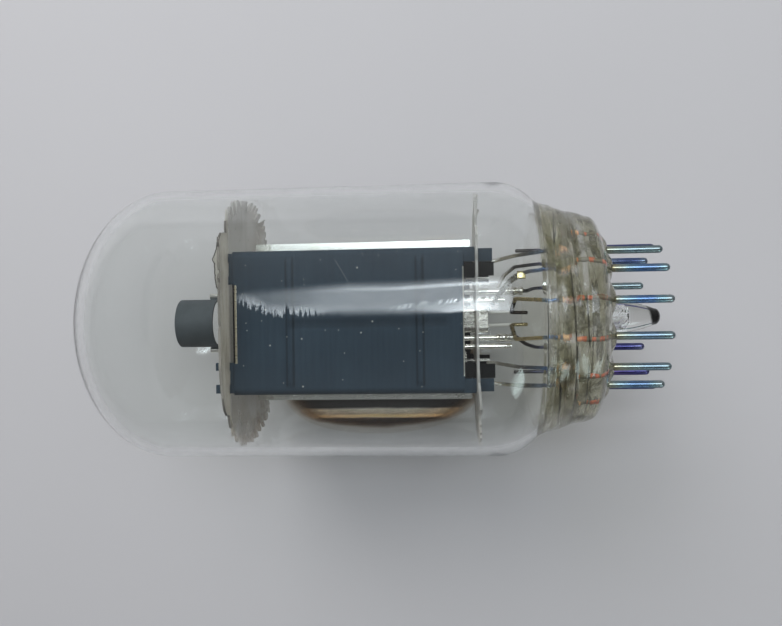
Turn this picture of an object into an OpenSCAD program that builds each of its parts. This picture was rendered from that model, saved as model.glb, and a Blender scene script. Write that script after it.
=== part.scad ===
// All-glass electron tube lying on its side.
// X runs along the tube: pins point to +X, the dome to -X. +Z is up, away
// from the surface it lies on. The origin is the centre of the pin circle, at
// the level where the pins leave the glass. Millimetres.

/* [Glass] */
// Outside diameter of the bulb
bulb_d = 37.4; // [37:0.1:38.2]
// Wall thickness of the bulb
bulb_wall = 1.15; // [1.0:0.05:1.2]
// Height of the elliptical dome
dome_h = 12.9; // [12:0.1:16]
// Distance from the pin seat to the start of the dome
dome_x = 59.3; // [59:0.1:62]
// Radius of the shoulder above the base
shoulder_r = 7; // [6.8:0.1:7.2]
// Distance from the pin seat to the start of the shoulder
shoulder_x = 14.9; // [14.7:0.1:15.1]
// Length of the sealed exhaust tip beyond the pin seat
tip_len = 7.6; // [7:0.1:8]

/* [Pins] */
// Diameter of the pin circle
pin_circle = 19.05; // [18.9:0.05:19.2]
// Diameter of one pin
pin_d = 1.016; // [0.98:0.002:1.04]
// Length of a pin beyond the glass
pin_len = 7.3; // [6.5:0.1:8]
// Places on the circle, one of them left empty
pin_places = 13; // [13]

/* [Cage] */
// Distance from the pin seat to the lower mica
low_mica_x = 17.3; // [17.2:0.1:17.4]
// Distance from the pin seat to the upper mica
up_mica_x = 49.3; // [49.2:0.1:49.4]
// Thickness of a mica
mica_t = 0.3; // [0.2:0.05:0.35]
// Radius of the serrated mica ends
mica_r = 17.3; // [17:0.05:17.4]
// Half width of the anode box across its face
anode_w = 9.2; // [9:0.1:9.3]
// Half depth of the anode box
anode_h = 10; // [9.8:0.1:10.2]
// Thickness of the anode sheet
sheet = 0.4; // [0.3:0.05:0.45]
// Corner radius of the anode box
anode_r = 0.9; // [0.7:0.1:1.1]

/* [Grids] */
// Half spacing of the control grid posts
g1_y = 2.6; // [2.5:0.05:2.65]
// Half spacing of the screen grid posts
g2_y = 3.8; // [3.8:0.05:3.9]
// Radius of a control grid post
g1_r = 0.4; // [0.3:0.02:0.42]
// Radius of a screen grid post
g2_r = 0.42; // [0.36:0.02:0.44]
// Pitch of the control grid winding
g1_pitch = 1.4; // [1.2:0.1:2]
// Pitch of the screen grid winding
g2_pitch = 1.8; // [1.6:0.1:2.4]

/* [Hidden] */
R = bulb_d / 2;
Ri = R - bulb_wall;
pin_r = pin_d / 2;
pin_R = pin_circle / 2;
seal_r = 0.3;
lead_r = 0.25;
shank_r = 0.34;
ax0 = -48.7;            // upper end of the anode sheet
ax1 = -18.9;            // lower end of the anode sheet
getter_a = 240;         // turn of the getter about X
film_x = -31.8;

// ---- helpers -------------------------------------------------------------

// solid of revolution about X from a profile of [radius, x]
module turn(fn = 96) rotate([0, 90, 0]) rotate_extrude($fn = fn) children();

// outline in (Y, Z) extruded along +X from x0 to x1
module along(x0, x1) translate([x0, 0, 0]) rotate([90, 0, 90])
  linear_extrude(x1 - x0) children();

// round bar along X
module bar(x0, x1, r, y = 0, z = 0) translate([x0, y, z]) rotate([0, 90, 0])
  cylinder(h = x1 - x0, r = r, $fn = 32);

function arc(cx, cy, r, a0, a1, n) =
  [for (i = [0:n]) let (a = a0 + (a1 - a0) * i / n) [cx + r * cos(a), cy + r * sin(a)]];

// place of pin i, counted from the empty place, as [y, z]
function pin_a(i) = (i - 5.5) * 360 / pin_places;
function pin_at(i) = [pin_R * sin(pin_a(i)), pin_R * cos(pin_a(i))];
function pin3(i, x) = [x, pin_at(i)[0], pin_at(i)[1]];

function unit(v) = v / norm(v);

// round wire swept along a path of 3-D points
module wire(p, r, n = 6) {
  m = len(p);
  t = [for (i = [0:m - 1]) unit(i == 0 ? p[1] - p[0] : i == m - 1 ? p[i] - p[i - 1]
        : unit(p[i + 1] - p[i]) + unit(p[i] - p[i - 1]))];
  ref = [0.31, 0.17, 0.93];
  u = [for (i = [0:m - 1]) unit(cross(ref, t[i]))];
  v = [for (i = [0:m - 1]) cross(t[i], u[i])];
  pts = [for (i = [0:m - 1], j = [0:n - 1])
    p[i] + r * (cos(360 * j / n) * u[i] + sin(360 * j / n) * v[i])];
  side = [for (i = [0:m - 2], j = [0:n - 1], k = [0, 1])
    let (a = i * n + j, b = i * n + (j + 1) % n, c = b + n, d = a + n)
    k == 0 ? [a, d, c] : [a, c, b]];
  polyhedron(points = pts, faces = concat([[for (j = [0:n - 1]) j]], side,
    [[for (j = [n - 1:-1:0]) (m - 1) * n + j]]));
}

// ---- glass ---------------------------------------------------------------

// outline of the bulb wall: outside from the dome to the skirt, then back
module glass_bulb() color([0.86, 0.88, 0.88, 0.35])
  turn() polygon(concat(
    [for (a = [0:6:90]) [R * sin(a), -dome_x - dome_h * cos(a)]],
    arc(R - shoulder_r, -shoulder_x, shoulder_r, 0, 52, 8),
    [[15.5, -7.9], [14.6, -5.2], [14.05, -2.6], [12.75, -2.6], [13.3, -5.2], [14.2, -7.9]],
    arc(R - shoulder_r, -shoulder_x, shoulder_r - bulb_wall, 50, 0, 8),
    [for (a = [90:-6:0]) [Ri * sin(a), -dome_x - (dome_h - bulb_wall) * cos(a)]]));

// thick glass disc with a raised boss round every pin on both faces
module button_stem() color([0.55, 0.56, 0.48, 0.5])
  difference() {
    union() {
      turn() polygon([[0, -5], [8, -5], [13.3, -5.2], [12.75, -2.6], [14.05, -2.6],
        [13.85, -2.1], [13.1, -1.5], [11.9, -1], [10.7, -0.65], [9.5, -0.5], [0, -0.5]]);
      for (i = [0:11]) translate([0, pin_at(i)[0], pin_at(i)[1]]) {
        translate([-1, 0, 0]) rotate([0, 90, 0]) cylinder(h = 1, r1 = 1.9, r2 = 0.8, $fn = 32);
        translate([-7.2, 0, 0]) rotate([0, 90, 0]) cylinder(h = 2.6, r1 = 0.5, r2 = 1.7, $fn = 32);
      }
    }
    for (i = [0:11]) {
      bar(-8, -0.5, seal_r, pin_at(i)[0], pin_at(i)[1]);
      bar(-0.8, 1, shank_r, pin_at(i)[0], pin_at(i)[1]);
    }
    bar(-6, 1, 1.1);
  }

// glass tube drawn off and sealed after pumping
module exhaust_tip() color([0.8, 0.82, 0.8, 0.4])
  turn(48) polygon(concat(
    [[1.1, -0.5], [2.6, -0.5], [2.35, 0.4], [2.25, 2], [1.95, 4], [1.3, 6.3]],
    arc(0, tip_len - 1.05, 1.05, 20, 90, 5),
    [[0, 3.45], [0.5, 3.2], [0.9, 2.6], [1.1, 1.5]]));

// ---- pins and leads ------------------------------------------------------

module base_pins() color([0.42, 0.45, 0.52])
  for (i = [0:11]) translate([0, pin_at(i)[0], pin_at(i)[1]])
    turn(32) polygon(concat(
      [[0, -0.8], [shank_r, -0.8], [shank_r, 0], [pin_r, 0]],
      arc(0, pin_len - 0.5, pin_r, 0, 78, 5), [[0, pin_len]]));

module seal_wires() color([0.72, 0.28, 0.14])
  for (i = [0:11]) bar(-7.2, -0.8, seal_r, pin_at(i)[0], pin_at(i)[1]);

module anode_leads() color([0.55, 0.53, 0.48]) {
  wire([pin3(8, -7.2), pin3(8, -8.7), [-12.2, 8.15, 6.3], [-14.2, 7.5, 8.8], [-14.6, 7.4, 9.2], [-15.8, 7, 9.3]], lead_r);
  wire([pin3(3, -7.2), pin3(3, -8.7), [-12.4, -8.5, 6.5], [-14.2, -8.1, 8.8], [-14.6, -8.05, 9.2], [-15.8, -7.9, 9.3]], lead_r);
}

module screen_grid_leads() color([0.36, 0.36, 0.4]) {
  wire([pin3(11, -7.2), pin3(11, -8.6), [-9.4, 4.1, -5.2], [-10.1, g2_y, -0.7], [-10.5, g2_y, 0], [-11.4, g2_y, 0]], lead_r);
  wire([pin3(10, -7.2), pin3(10, -8.6), [-11.2, 7.4, -4.2], [-12.6, 6.2, -2.9], [-13.8, 4.3, -0.5]], lead_r);
}

module control_grid_lead() color([0.36, 0.36, 0.4])
  wire([pin3(0, -7.2), pin3(0, -8.6), [-10, -3.7, -5.2], [-11.4, -g1_y, -0.7], [-11.8, -g1_y, 0], [-12.9, -g1_y, 0]], lead_r);

module heater_leads() color([0.66, 0.56, 0.34])
  for (s = [-1, 1])
    wire([pin3(s > 0 ? 6 : 5, -7.2), pin3(s > 0 ? 6 : 5, -8.5), [-11.8, s * 2.6, 6.5], [-12.15, s * 2.5, 6],
      [-12.15, s * 0.95, 0.9], [-11.8, s * 0.85, 0.6], [-10.2, s * 0.8, 0.5]], lead_r);

module cathode_lead() color([0.6, 0.57, 0.5])
  wire([pin3(7, -7.2), pin3(7, -8.6), [-10.6, 6.1, 6.4], [-12.2, 5.6, 5.6]], lead_r);

module beam_plate_lead() color([0.6, 0.6, 0.6])
  wire([pin3(4, -7.2), pin3(4, -8.6), [-11.6, -6.35, 4.6], [-13.9, -6.1, 0.6], [-14.3, -6.06, 0.3], [-15.9, -6.02, 0]], lead_r);

module spare_leads() color([0.32, 0.32, 0.36])
  for (i = [1, 2, 9]) wire([pin3(i, -7.2), pin3(i, -9), pin3(i, -11.4) * 1.0], lead_r);

// crimped sleeves that join a lead to a grid post
module lead_sleeves() color([0.75, 0.74, 0.7]) {
  difference() { bar(-12.9, -10.7, 0.6, g2_y); bar(-14, -11.4, g2_r, g2_y); bar(-11.4, -10, lead_r + 0.02, g2_y); }
  difference() { bar(-14.2, -11.9, 0.58, -g1_y); bar(-15, -12.9, g1_r, -g1_y); bar(-12.9, -11, lead_r + 0.02, -g1_y); }
}

// ---- micas ---------------------------------------------------------------

module slot_outline(w, h) {
  square([w - h, h], center = true);
  for (s = [-1, 1]) translate([s * (w - h) / 2, 0]) circle(d = h, $fn = 32);
}

module mica_outline(prongs) difference() {
  intersection() {
    circle(r = mica_r, $fn = 96);
    square([2 * mica_r + 1, 28], center = true);
  }
  for (sy = [-1, 1], sz = [-1, 1]) translate([sy * 16.4, sz * 16]) square(10, center = true);
  for (s = [0, 180], a = [-36:4:36]) rotate(s + a) translate([mica_r + 0.15, 0]) rotate(180) circle(r = 0.7, $fn = 3);
  slot_outline(3.9, 1.6);
  for (s = [-1, 1]) {
    translate([s * g1_y, 0]) circle(r = g1_r + 0.03, $fn = 32);
    translate([s * g2_y, 0]) circle(r = g2_r + 0.03, $fn = 32);
    translate([s * 5.625, 0]) square([0.35, 1.9], center = true);
  }
  for (sy = [-1, 1], sz = [-1, 1], q = prongs)
    translate([sy * q[0], sz * (anode_h - sheet / 2)]) square([q[1] + 0.1, sheet + 0.1], center = true);
}

module upper_mica() color([0.5, 0.45, 0.4, 0.8])
  along(-up_mica_x - mica_t / 2, -up_mica_x + mica_t / 2) mica_outline([[5.5, 1], [8.35, 1.1]]);

module lower_mica() color([0.7, 0.7, 0.68, 0.6])
  along(-low_mica_x - mica_t / 2, -low_mica_x + mica_t / 2) difference() {
    mica_outline([[7.2, 3.4]]);
    rotate(getter_a) translate([14, 0]) circle(r = 0.3, $fn = 24);
  }

// ---- anode ---------------------------------------------------------------

// half box with flanges that reach out to fl, sheet from z0 at the flange
module half_box(fl, z0) {
  w = anode_w; h = anode_h; r = anode_r; s = sheet;
  polygon(concat(
    [[fl, z0], [fl, z0 + s], [w, z0 + s]],
    arc(w - r, h - r, r, 0, 90, 6), arc(-w + r, h - r, r, 90, 180, 6),
    [[-w, z0 + s], [-fl, z0 + s], [-fl, z0], [-w + s, z0]],
    arc(-w + r, h - r, r - s, 180, 90, 6), arc(w - r, h - r, r - s, 90, 0, 6),
    [[w - s, z0]]));
}

// tabs on the face: forked through the upper mica, wide through the lower
module ears() for (s = [-1, 1]) {
  z = anode_h - sheet;
  translate([-49.1, s * 6.95 - 1.95, z]) cube([49.1 + ax0 + 1.5, 3.9, sheet]);
  for (q = [[5.5, 1], [8.35, 1.1]]) translate([s > 0 ? -50.3 : -51, s * q[0] - q[1] / 2, z]) cube([s > 0 ? 1.6 : 2.3, q[1], sheet]);
  translate([ax1 - 0.5, s * 7.2 - 1.9, z]) cube([-17.5 - ax1 + 0.5, 3.8, sheet]);
  translate([-17.7, s * 7.2 - 1.7, z]) cube([2.7, 3.4, sheet]);
}

// low pressed ribs across the face
module ribs() for (x = [-41.2, -24.5]) intersection() {
  translate([x, 0, anode_h - 0.75]) rotate([90, 0, 0]) cylinder(h = 16.6, r = 1, center = true, $fn = 48);
  translate([x - 2, -10, anode_h - 0.1]) cube([4, 20, 1]);
}

module anode_front() color([0.24, 0.27, 0.33]) union() {
  along(ax0, ax1) half_box(9.75, 0.2);
  ears();
  ribs();
}

module anode_rear() color([0.28, 0.31, 0.36]) mirror([0, 0, 1]) union() {
  along(ax0 + 0.8, ax1 + 1) half_box(11, -0.2);
  ears();
  ribs();
}

// ---- grids, cathode and beam plates --------------------------------------

module beam_plates() color([0.62, 0.62, 0.62])
  for (s = [-1, 1]) mirror([0, s < 0 ? 1 : 0, 0]) {
    along(-47.6, -18.6) polygon([[4.7, -4.65], [5.75, -4.65], [5.75, 4.65], [4.7, 4.65], [4.7, 4.4],
      [5.5, 4.4], [5.5, -4.4], [4.7, -4.4]]);
    translate([-50.4, 5.5, -0.9]) cube([35, 0.25, 1.8]);
  }

module cathode_sleeve() color([0.66, 0.65, 0.62])
  along(-50.8, -15.6) difference() { slot_outline(3.8, 1.5); slot_outline(3.6, 1.3); }

module cathode_coating() color([0.93, 0.92, 0.88])
  along(-47, -19.6) difference() { slot_outline(3.98, 1.68); slot_outline(3.8, 1.5); }

module cathode_tab() color([0.7, 0.69, 0.66])
  wire([[-16.6, 1, 0.9], [-15.6, 1.4, 1.1], [-13.6, 3.6, 3.4], [-12.4, 5.1, 5.2], [-11.2, 5.5, 5.9]], 0.2, 4);

module heater() color([0.95, 0.95, 0.93])
  wire([[-10.4, -0.8, 0], [-15.4, -0.9, 0], [-16.4, -1.2, 0], [-46.6, -1.2, 0], [-47.3, -0.8, 0], [-46.6, -0.4, 0],
    [-21, -0.4, 0], [-20.4, 0, 0], [-21, 0.4, 0], [-46.6, 0.4, 0], [-47.3, 0.8, 0], [-46.6, 1.2, 0],
    [-16.4, 1.2, 0], [-15.4, 0.9, 0], [-10.4, 0.8, 0]], 0.22, 8);

module control_grid_posts() color([0.8, 0.79, 0.76])
  for (s = [-1, 1]) bar(-51.6, -12.9, g1_r, s * g1_y);

module screen_grid_posts() color([0.8, 0.79, 0.76])
  for (s = [-1, 1]) bar(-54.6, s > 0 ? -11.4 : -12.1, g2_r, s * g2_y);

// flattened helix from x0 to x1 round the two posts
module winding(x0, x1, pitch, a, b, r) {
  n = 14;
  m = floor((x1 - x0) / pitch * n);
  wire([for (i = [0:m]) [x0 + pitch * i / n, a * cos(360 * i / n), b * sin(360 * i / n)]], r, 4);
}

module control_grid_winding() color([0.78, 0.72, 0.5])
  winding(-47.6, -19, g1_pitch, g1_y + g1_r + 0.1, 1.25, 0.08);

module screen_grid_winding() color([0.6, 0.6, 0.6])
  winding(-47.6, -19, g2_pitch, g2_y + g2_r + 0.12, 2.2, 0.09);

// blackened strip bent to an arch and welded to the tops of the screen posts
module radiator() color([0.09, 0.09, 0.1])
  along(-58.75, -53.4) difference() {
    circle(r = g2_y - g2_r - 0.02, $fn = 64);
    circle(r = g2_y - g2_r - 0.32, $fn = 64);
    translate([-6, -12.8]) square([12, 12]);
  }

// ---- getter --------------------------------------------------------------

module getter_channel() color([0.5, 0.49, 0.46]) rotate([getter_a, 0, 0]) difference() {
  translate([-38.5, 14.3, -1.1]) cube([12, 1.2, 2.2]);
  translate([-38.2, 14.6, -0.8]) cube([11.4, 2, 1.6]);
}

module getter_charge() color([0.3, 0.28, 0.26]) rotate([getter_a, 0, 0])
  translate([-38.2, 14.6, -0.8]) cube([11.4, 0.5, 1.6]);

module getter_support() color([0.6, 0.59, 0.56]) rotate([getter_a, 0, 0])
  wire([[-33.8, 14.05, 0], [-24, 14.05, 0], [-22, 14, 0], [-16.4, 14, 0]], 0.25, 8);

module getter_film() color([0.25, 0.22, 0.2]) intersection() {
  difference() {
    bar(-50, -14, Ri, 0, 0);
    bar(-51, -13, Ri - 0.1, 0, 0);
  }
  rotate([getter_a, 0, 0]) translate([film_x, 10, 0]) rotate([-90, 0, 0])
    linear_extrude(10) polygon([for (a = [0:10:350]) [16.3 * cos(a), 12.4 * sin(a)]]);
}

glass_bulb();
button_stem();
exhaust_tip();
base_pins();
seal_wires();
anode_leads();
screen_grid_leads();
control_grid_lead();
heater_leads();
cathode_lead();
beam_plate_lead();
spare_leads();
lead_sleeves();
lower_mica();
upper_mica();
anode_front();
anode_rear();
beam_plates();
cathode_sleeve();
cathode_coating();
cathode_tab();
heater();
control_grid_posts();
control_grid_winding();
screen_grid_posts();
screen_grid_winding();
radiator();
getter_channel();
getter_charge();
getter_support();
getter_film();
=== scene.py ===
"""Looks of the all-glass electron tube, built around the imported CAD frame.

Everything is in the frame's own axes: X along the tube with the pins at +X, +Z up.
Lengths in the code are millimetres and are scaled to metres when a mesh is made.
"""
import math
import random

import bpy
import bmesh
import numpy as np
from mathutils import Matrix, Vector
from mathutils.geometry import delaunay_2d_cdt


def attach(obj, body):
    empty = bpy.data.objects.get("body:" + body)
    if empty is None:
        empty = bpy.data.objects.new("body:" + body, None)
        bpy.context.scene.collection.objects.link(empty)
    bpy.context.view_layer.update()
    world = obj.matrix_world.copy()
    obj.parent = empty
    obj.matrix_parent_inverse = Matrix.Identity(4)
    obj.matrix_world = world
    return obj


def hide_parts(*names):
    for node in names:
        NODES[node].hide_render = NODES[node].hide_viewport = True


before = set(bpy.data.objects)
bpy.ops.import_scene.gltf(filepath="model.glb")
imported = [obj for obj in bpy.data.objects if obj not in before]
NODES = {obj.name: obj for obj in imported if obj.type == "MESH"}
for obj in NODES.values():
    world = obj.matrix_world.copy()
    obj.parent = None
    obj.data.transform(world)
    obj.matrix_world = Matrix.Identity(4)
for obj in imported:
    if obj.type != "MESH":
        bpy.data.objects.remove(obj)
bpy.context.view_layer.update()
MM = 0.001
SCENE = bpy.context.scene
PI = math.pi

# ---------------------------------------------------------------- camera

cam_data = bpy.data.cameras.new("camera")
cam_data.sensor_fit = "HORIZONTAL"
cam_data.sensor_width = 36.0
cam_data.lens = 37.836
cam_data.clip_start = 0.002
cam_data.clip_end = 20.0
cam = bpy.data.objects.new("camera", cam_data)
SCENE.collection.objects.link(cam)
right, up, back = (0.996322, -0.016279, -0.084124), (0.016206, 0.999867, -0.001550), (0.084138, 0.000181, 0.996454)
place = Matrix.Identity(4)
for row in range(3):
    place[row][0], place[row][1], place[row][2] = right[row], up[row], back[row]
place.translation = Vector((-0.019381, 0.001063, 0.114316))
cam.matrix_world = place
SCENE.camera = cam
SCENE.view_settings.view_transform = "Standard"
SCENE.cycles.max_bounces = 24
SCENE.cycles.transmission_bounces = 24
SCENE.cycles.glossy_bounces = 8
SCENE.cycles.transparent_max_bounces = 32

# ---------------------------------------------------------------- node helper


class Mat:
    """A node material: m(type, socket=value or link, ...) adds a node and wires it."""

    def __init__(self, name):
        self.mat = bpy.data.materials.new(name)
        self.mat.use_nodes = True
        self.nt = self.mat.node_tree
        self.nt.nodes.clear()
        self.out = self.nt.nodes.new("ShaderNodeOutputMaterial")
        self.pos = None

    def n(self, kind, props=None, **sockets):
        node = self.nt.nodes.new("ShaderNode" + kind)
        for k, v in (props or {}).items():
            setattr(node, k, v)
        for k, v in sockets.items():
            self.put(node.inputs[int(k[1:]) if k[0] == "i" and k[1:].isdigit() else k.replace("_", " ")], v)
        return node

    def put(self, socket, value):
        if isinstance(value, bpy.types.NodeSocket):
            self.nt.links.new(value, socket)
        else:
            socket.default_value = value

    def where(self):
        if self.pos is None:
            self.pos = self.n("TexCoord").outputs["Object"]
        return self.pos

    def axes(self):
        s = self.n("SeparateXYZ", None, Vector=self.where())
        return s.outputs[0], s.outputs[1], s.outputs[2]

    def scaled(self, sx, sy, sz):
        return self.n("Mapping", None, Vector=self.where(), Scale=(sx, sy, sz)).outputs[0]

    def noise(self, scale, detail=3.0, rough=0.55, vector=None, dist=0.0):
        t = self.n("TexNoise", None, Vector=vector if vector is not None else self.where(), Scale=scale, Detail=detail,
                   Roughness=rough, Distortion=dist)
        return t.outputs[0]

    def ramp(self, fac, stops, interp="LINEAR"):
        r = self.n("ValToRGB", None, Fac=fac)
        cr = r.color_ramp
        cr.interpolation = interp
        while len(cr.elements) < len(stops):
            cr.elements.new(0.5)
        for e, (p, c) in zip(cr.elements, stops):
            e.position = p
            e.color = (c, c, c, 1) if isinstance(c, (int, float)) else (*c, 1)
        return r.outputs[0]

    def math(self, op, a, b=None, c=None, clamp=False):
        node = self.n("Math", {"operation": op, "use_clamp": clamp})
        for i, v in enumerate((a, b, c)):
            if v is not None:
                self.put(node.inputs[i], v)
        return node.outputs[0]

    def span(self, v, a, b, lo=0.0, hi=1.0, smooth=True):
        node = self.n("MapRange", {"interpolation_type": "SMOOTHSTEP" if smooth else "LINEAR", "clamp": True})
        for i, x in enumerate((v, a, b, lo, hi)):
            self.put(node.inputs[i], x)
        return node.outputs[0]

    def mix(self, fac, a, b):
        node = self.n("Mix", {"data_type": "RGBA"})
        self.put(node.inputs[0], fac)
        for i, x in ((6, a), (7, b)):
            self.put(node.inputs[i], x if isinstance(x, bpy.types.NodeSocket) else (*x, 1))
        return node.outputs[2]

    def bump(self, height, strength, distance_mm):
        return self.n("Bump", None, Strength=strength, Distance=distance_mm * MM, Height=height).outputs[0]

    def specks(self, scale, size, share):
        """Small scattered specks: 1 inside a speck, 0 elsewhere."""
        v = self.n("TexVoronoi", None, Vector=self.where(), Scale=scale)
        near = self.math("LESS_THAN", v.outputs["Distance"], size)
        pick = self.n("SeparateColor", None, Color=v.outputs["Color"]).outputs[0]
        return self.math("MULTIPLY", near, self.math("LESS_THAN", pick, share))

    def principled(self, **kw):
        return self.n("BsdfPrincipled", None, **kw).outputs[0]

    def done(self, surface):
        self.nt.links.new(surface, self.out.inputs["Surface"])
        return self.mat

    def glass(self, shader, clear=(1, 1, 1)):
        """Lets lamps and bounced light through a glass shader, so what is inside is lit."""
        path = self.n("LightPath")
        thru = self.n("BsdfTransparent", None, Color=(*clear, 1)).outputs[0]
        a = self.n("MixShader", None, Fac=path.outputs["Is Shadow Ray"])
        self.put(a.inputs[1], shader)
        self.put(a.inputs[2], thru)
        b = self.n("MixShader", None, Fac=path.outputs["Is Diffuse Ray"])
        self.put(b.inputs[1], a.outputs[0])
        self.put(b.inputs[2], thru)
        return b.outputs[0]


# ---------------------------------------------------------------- materials


def bulb_glass():
    m = Mat("bulb_glass")
    wave = m.noise(1.0, 2.0, 0.5, m.scaled(30, 90, 90))
    m_bump = m.bump(wave, 0.10, 0.05)
    return m.done(m.glass(m.principled(Base_Color=(0.95, 0.965, 0.955, 1), Roughness=0.0, IOR=1.5,
                                       Transmission_Weight=1.0, Normal=m_bump), (0.96, 0.965, 0.96)))


def base_glass():
    """Thick remelted glass: clear at its edge, olive and mottled further on, with dark cords drawn round it."""
    m = Mat("base_glass")
    x, y, z = m.axes()
    cloud = m.noise(1.0, 4.0, 0.6, m.scaled(480, 210, 210), 1.0)
    streak = m.noise(1.0, 2.0, 0.5, m.scaled(760, 120, 120), 0.4)
    tone = m.math("ADD", m.math("MULTIPLY", cloud, 0.75), m.math("MULTIPLY", streak, 0.25))
    deep = m.ramp(tone, [(0.33, (0.165, 0.15, 0.08)), (0.45, (0.44, 0.425, 0.30)), (0.56, (0.68, 0.67, 0.555)), (0.66, (0.94, 0.945, 0.91))])
    late = m.math("SUBTRACT", x, m.span(z, -0.001, -0.009, 0.0, 0.0030))
    late = m.math("ADD", late, m.span(m.math("ABSOLUTE", y), 0.003, 0.011, 0.0, 0.0016))
    tint = m.mix(m.span(late, -0.0094, -0.0072), (0.94, 0.945, 0.925), deep)
    xw = m.math("ADD", x, m.math("MULTIPLY", m.math("SUBTRACT", m.noise(110.0, 2.0), 0.5), 0.0007))
    near = m.span(z, 0.0, 0.003)
    # the glass is clearer where it has wetted the copper of the near pins
    clear = None
    for xa, xb, yc, half in ((-7.5, -4.8, -2.35, 0.45), (-7.1, -4.9, 2.0, 0.40), (-7.1, -5.5, 8.2, 0.42), (-5.9, -4.9, 6.0, 0.34), (-7.5, -6.4, 5.5, 0.30),
                             (-7.5, -6.3, -5.8, 0.34), (-6.3, -5.1, -8.4, 0.30)):
        across = m.span(m.math("ABSOLUTE", m.math("SUBTRACT", y, yc * MM)), (half + 0.25) * MM, (half - 0.15) * MM)
        length = m.math("MULTIPLY", m.span(x, (xa - 0.3) * MM, (xa + 0.2) * MM), m.span(x, (xb + 0.3) * MM, (xb - 0.2) * MM))
        spot = m.math("MULTIPLY", across, m.math("MULTIPLY", length, near))
        clear = spot if clear is None else m.math("MAXIMUM", clear, spot)
    tint = m.mix(m.math("MULTIPLY", clear, 0.8), tint, (0.95, 0.93, 0.88))

    def drawn(xa, ya, xb, yb, half):
        """A line on the skin from (xa, ya) to (xb, yb), both in mm."""
        k = (xb - xa) / (yb - ya)
        mid = m.math("MULTIPLY_ADD", y, k, (xa - k * ya) * MM)
        thin = m.span(m.math("ABSOLUTE", m.math("SUBTRACT", xw, mid)), (half * 1.5 + 0.03) * MM, half * 0.5 * MM)
        lo, hi = sorted((ya, yb))
        part = m.math("MULTIPLY", m.span(y, (lo - 0.4) * MM, (lo + 0.4) * MM), m.span(y, (hi + 0.4) * MM, (hi - 0.4) * MM))
        return m.math("MULTIPLY", thin, m.math("MULTIPLY", part, near))

    # a pale streak down the rim is a painted highlight: the glass is made whiter and clearer along it
    pale = drawn(-4.35, 12.0, -4.25, 3.4, 0.30)
    tint = m.mix(m.math("MULTIPLY", pale, 0.9), tint, (0.99, 0.99, 0.98))
    cords = None
    for cord in ((-7.3, 13.6, -7.86, 9.0, 0.06), (-6.05, 5.6, -5.45, -3.0, 0.08), (-5.45, -3.0, -5.4, -13.2, 0.08), (-7.49, -7.6, -7.1, -13.8, 0.08),
                 (-4.24, 2.6, -3.93, -3.4, 0.10), (-9.02, 1.9, -9.02, -8.0, 0.05), (-4.05, -5.6, -3.95, -11.0, 0.05)):
        c = drawn(*cord)
        cords = c if cords is None else m.math("MAXIMUM", cords, c)
    tint = m.mix(m.math("MULTIPLY", cords, 0.95), tint, (0.02, 0.02, 0.018))
    body = m.principled(Base_Color=tint, Roughness=m.ramp(cloud, [(0.32, 0.05), (0.5, 0.0)]), IOR=1.5, Transmission_Weight=0.93,
                        Normal=m.bump(cloud, 0.35, 0.30))
    return m.done(m.glass(body, (0.83, 0.83, 0.78)))


def tip_glass():
    m = Mat("tip_glass")
    x, y, z = m.axes()
    edge = m.math("ADD", m.math("ADD", x, m.math("MULTIPLY", y, 0.35)), m.math("MULTIPLY", m.noise(500.0, 2.0), 0.0010))
    burnt = m.span(edge, 0.0064, 0.0069)
    tint = m.mix(burnt, (0.93, 0.94, 0.93), (0.010, 0.010, 0.011))
    return m.done(m.glass(m.principled(Base_Color=tint, Roughness=0.0, IOR=1.5, Transmission_Weight=1.0,
                                       Normal=m.bump(m.noise(380.0, 2.0), 0.25, 0.08)), (0.9, 0.9, 0.9)))


def pin_metal():
    """Heat-tinted pins: straw at the glass, then blue, then bare steel at the tip. 'tint' shifts each pin."""
    m = Mat("pin_metal")
    x, y, z = m.axes()
    shift = m.n("Attribute", {"attribute_name": "tint"}).outputs["Fac"]
    ragged = m.math("MULTIPLY", m.math("SUBTRACT", m.noise(900.0, 3.0), 0.5), 0.0016)
    along = m.math("ADD", m.math("ADD", x, ragged), m.math("MULTIPLY", shift, 0.003))
    t = m.span(along, -0.0005, 0.0079, 0.0, 1.0, False)
    warm = m.ramp(t, [(0.0, (0.151, 0.109, 0.0462)), (0.10, (0.37, 0.295, 0.13)), (0.22, (0.37, 0.38, 0.30)),
                      (0.36, (0.25, 0.39, 0.48)), (0.55, (0.12, 0.23, 0.47)), (0.76, (0.12, 0.21, 0.42)),
                      (0.90, (0.235, 0.37, 0.42)), (1.0, (0.319, 0.378, 0.395))])
    dark = m.n("Attribute", {"attribute_name": "violet"}).outputs["Fac"]
    cool = m.ramp(t, [(0.0, (0.101, 0.0798, 0.101)), (0.3, (0.126, 0.0924, 0.252)), (0.7, (0.0756, 0.0714, 0.227)), (1.0, (0.134, 0.126, 0.26))])
    steel = m.n("Attribute", {"attribute_name": "steel"}).outputs["Fac"]
    grey = m.ramp(t, [(0.0, (0.202, 0.151, 0.084)), (0.2, (0.36, 0.38, 0.305)), (0.6, (0.27, 0.35, 0.355)), (1.0, (0.252, 0.319, 0.336))])
    colour = m.mix(steel, m.mix(dark, warm, cool), grey)
    scratch = m.noise(1.0, 4.0, 0.6, m.scaled(600, 4200, 4200))
    rough = m.ramp(scratch, [(0.3, 0.19), (0.7, 0.34)])
    return m.done(m.principled(Base_Color=colour, Metallic=1.0, Roughness=rough, Specular_Tint=(0.25, 0.27, 0.30, 1), Normal=m.bump(scratch, 0.12, 0.02)))


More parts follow.
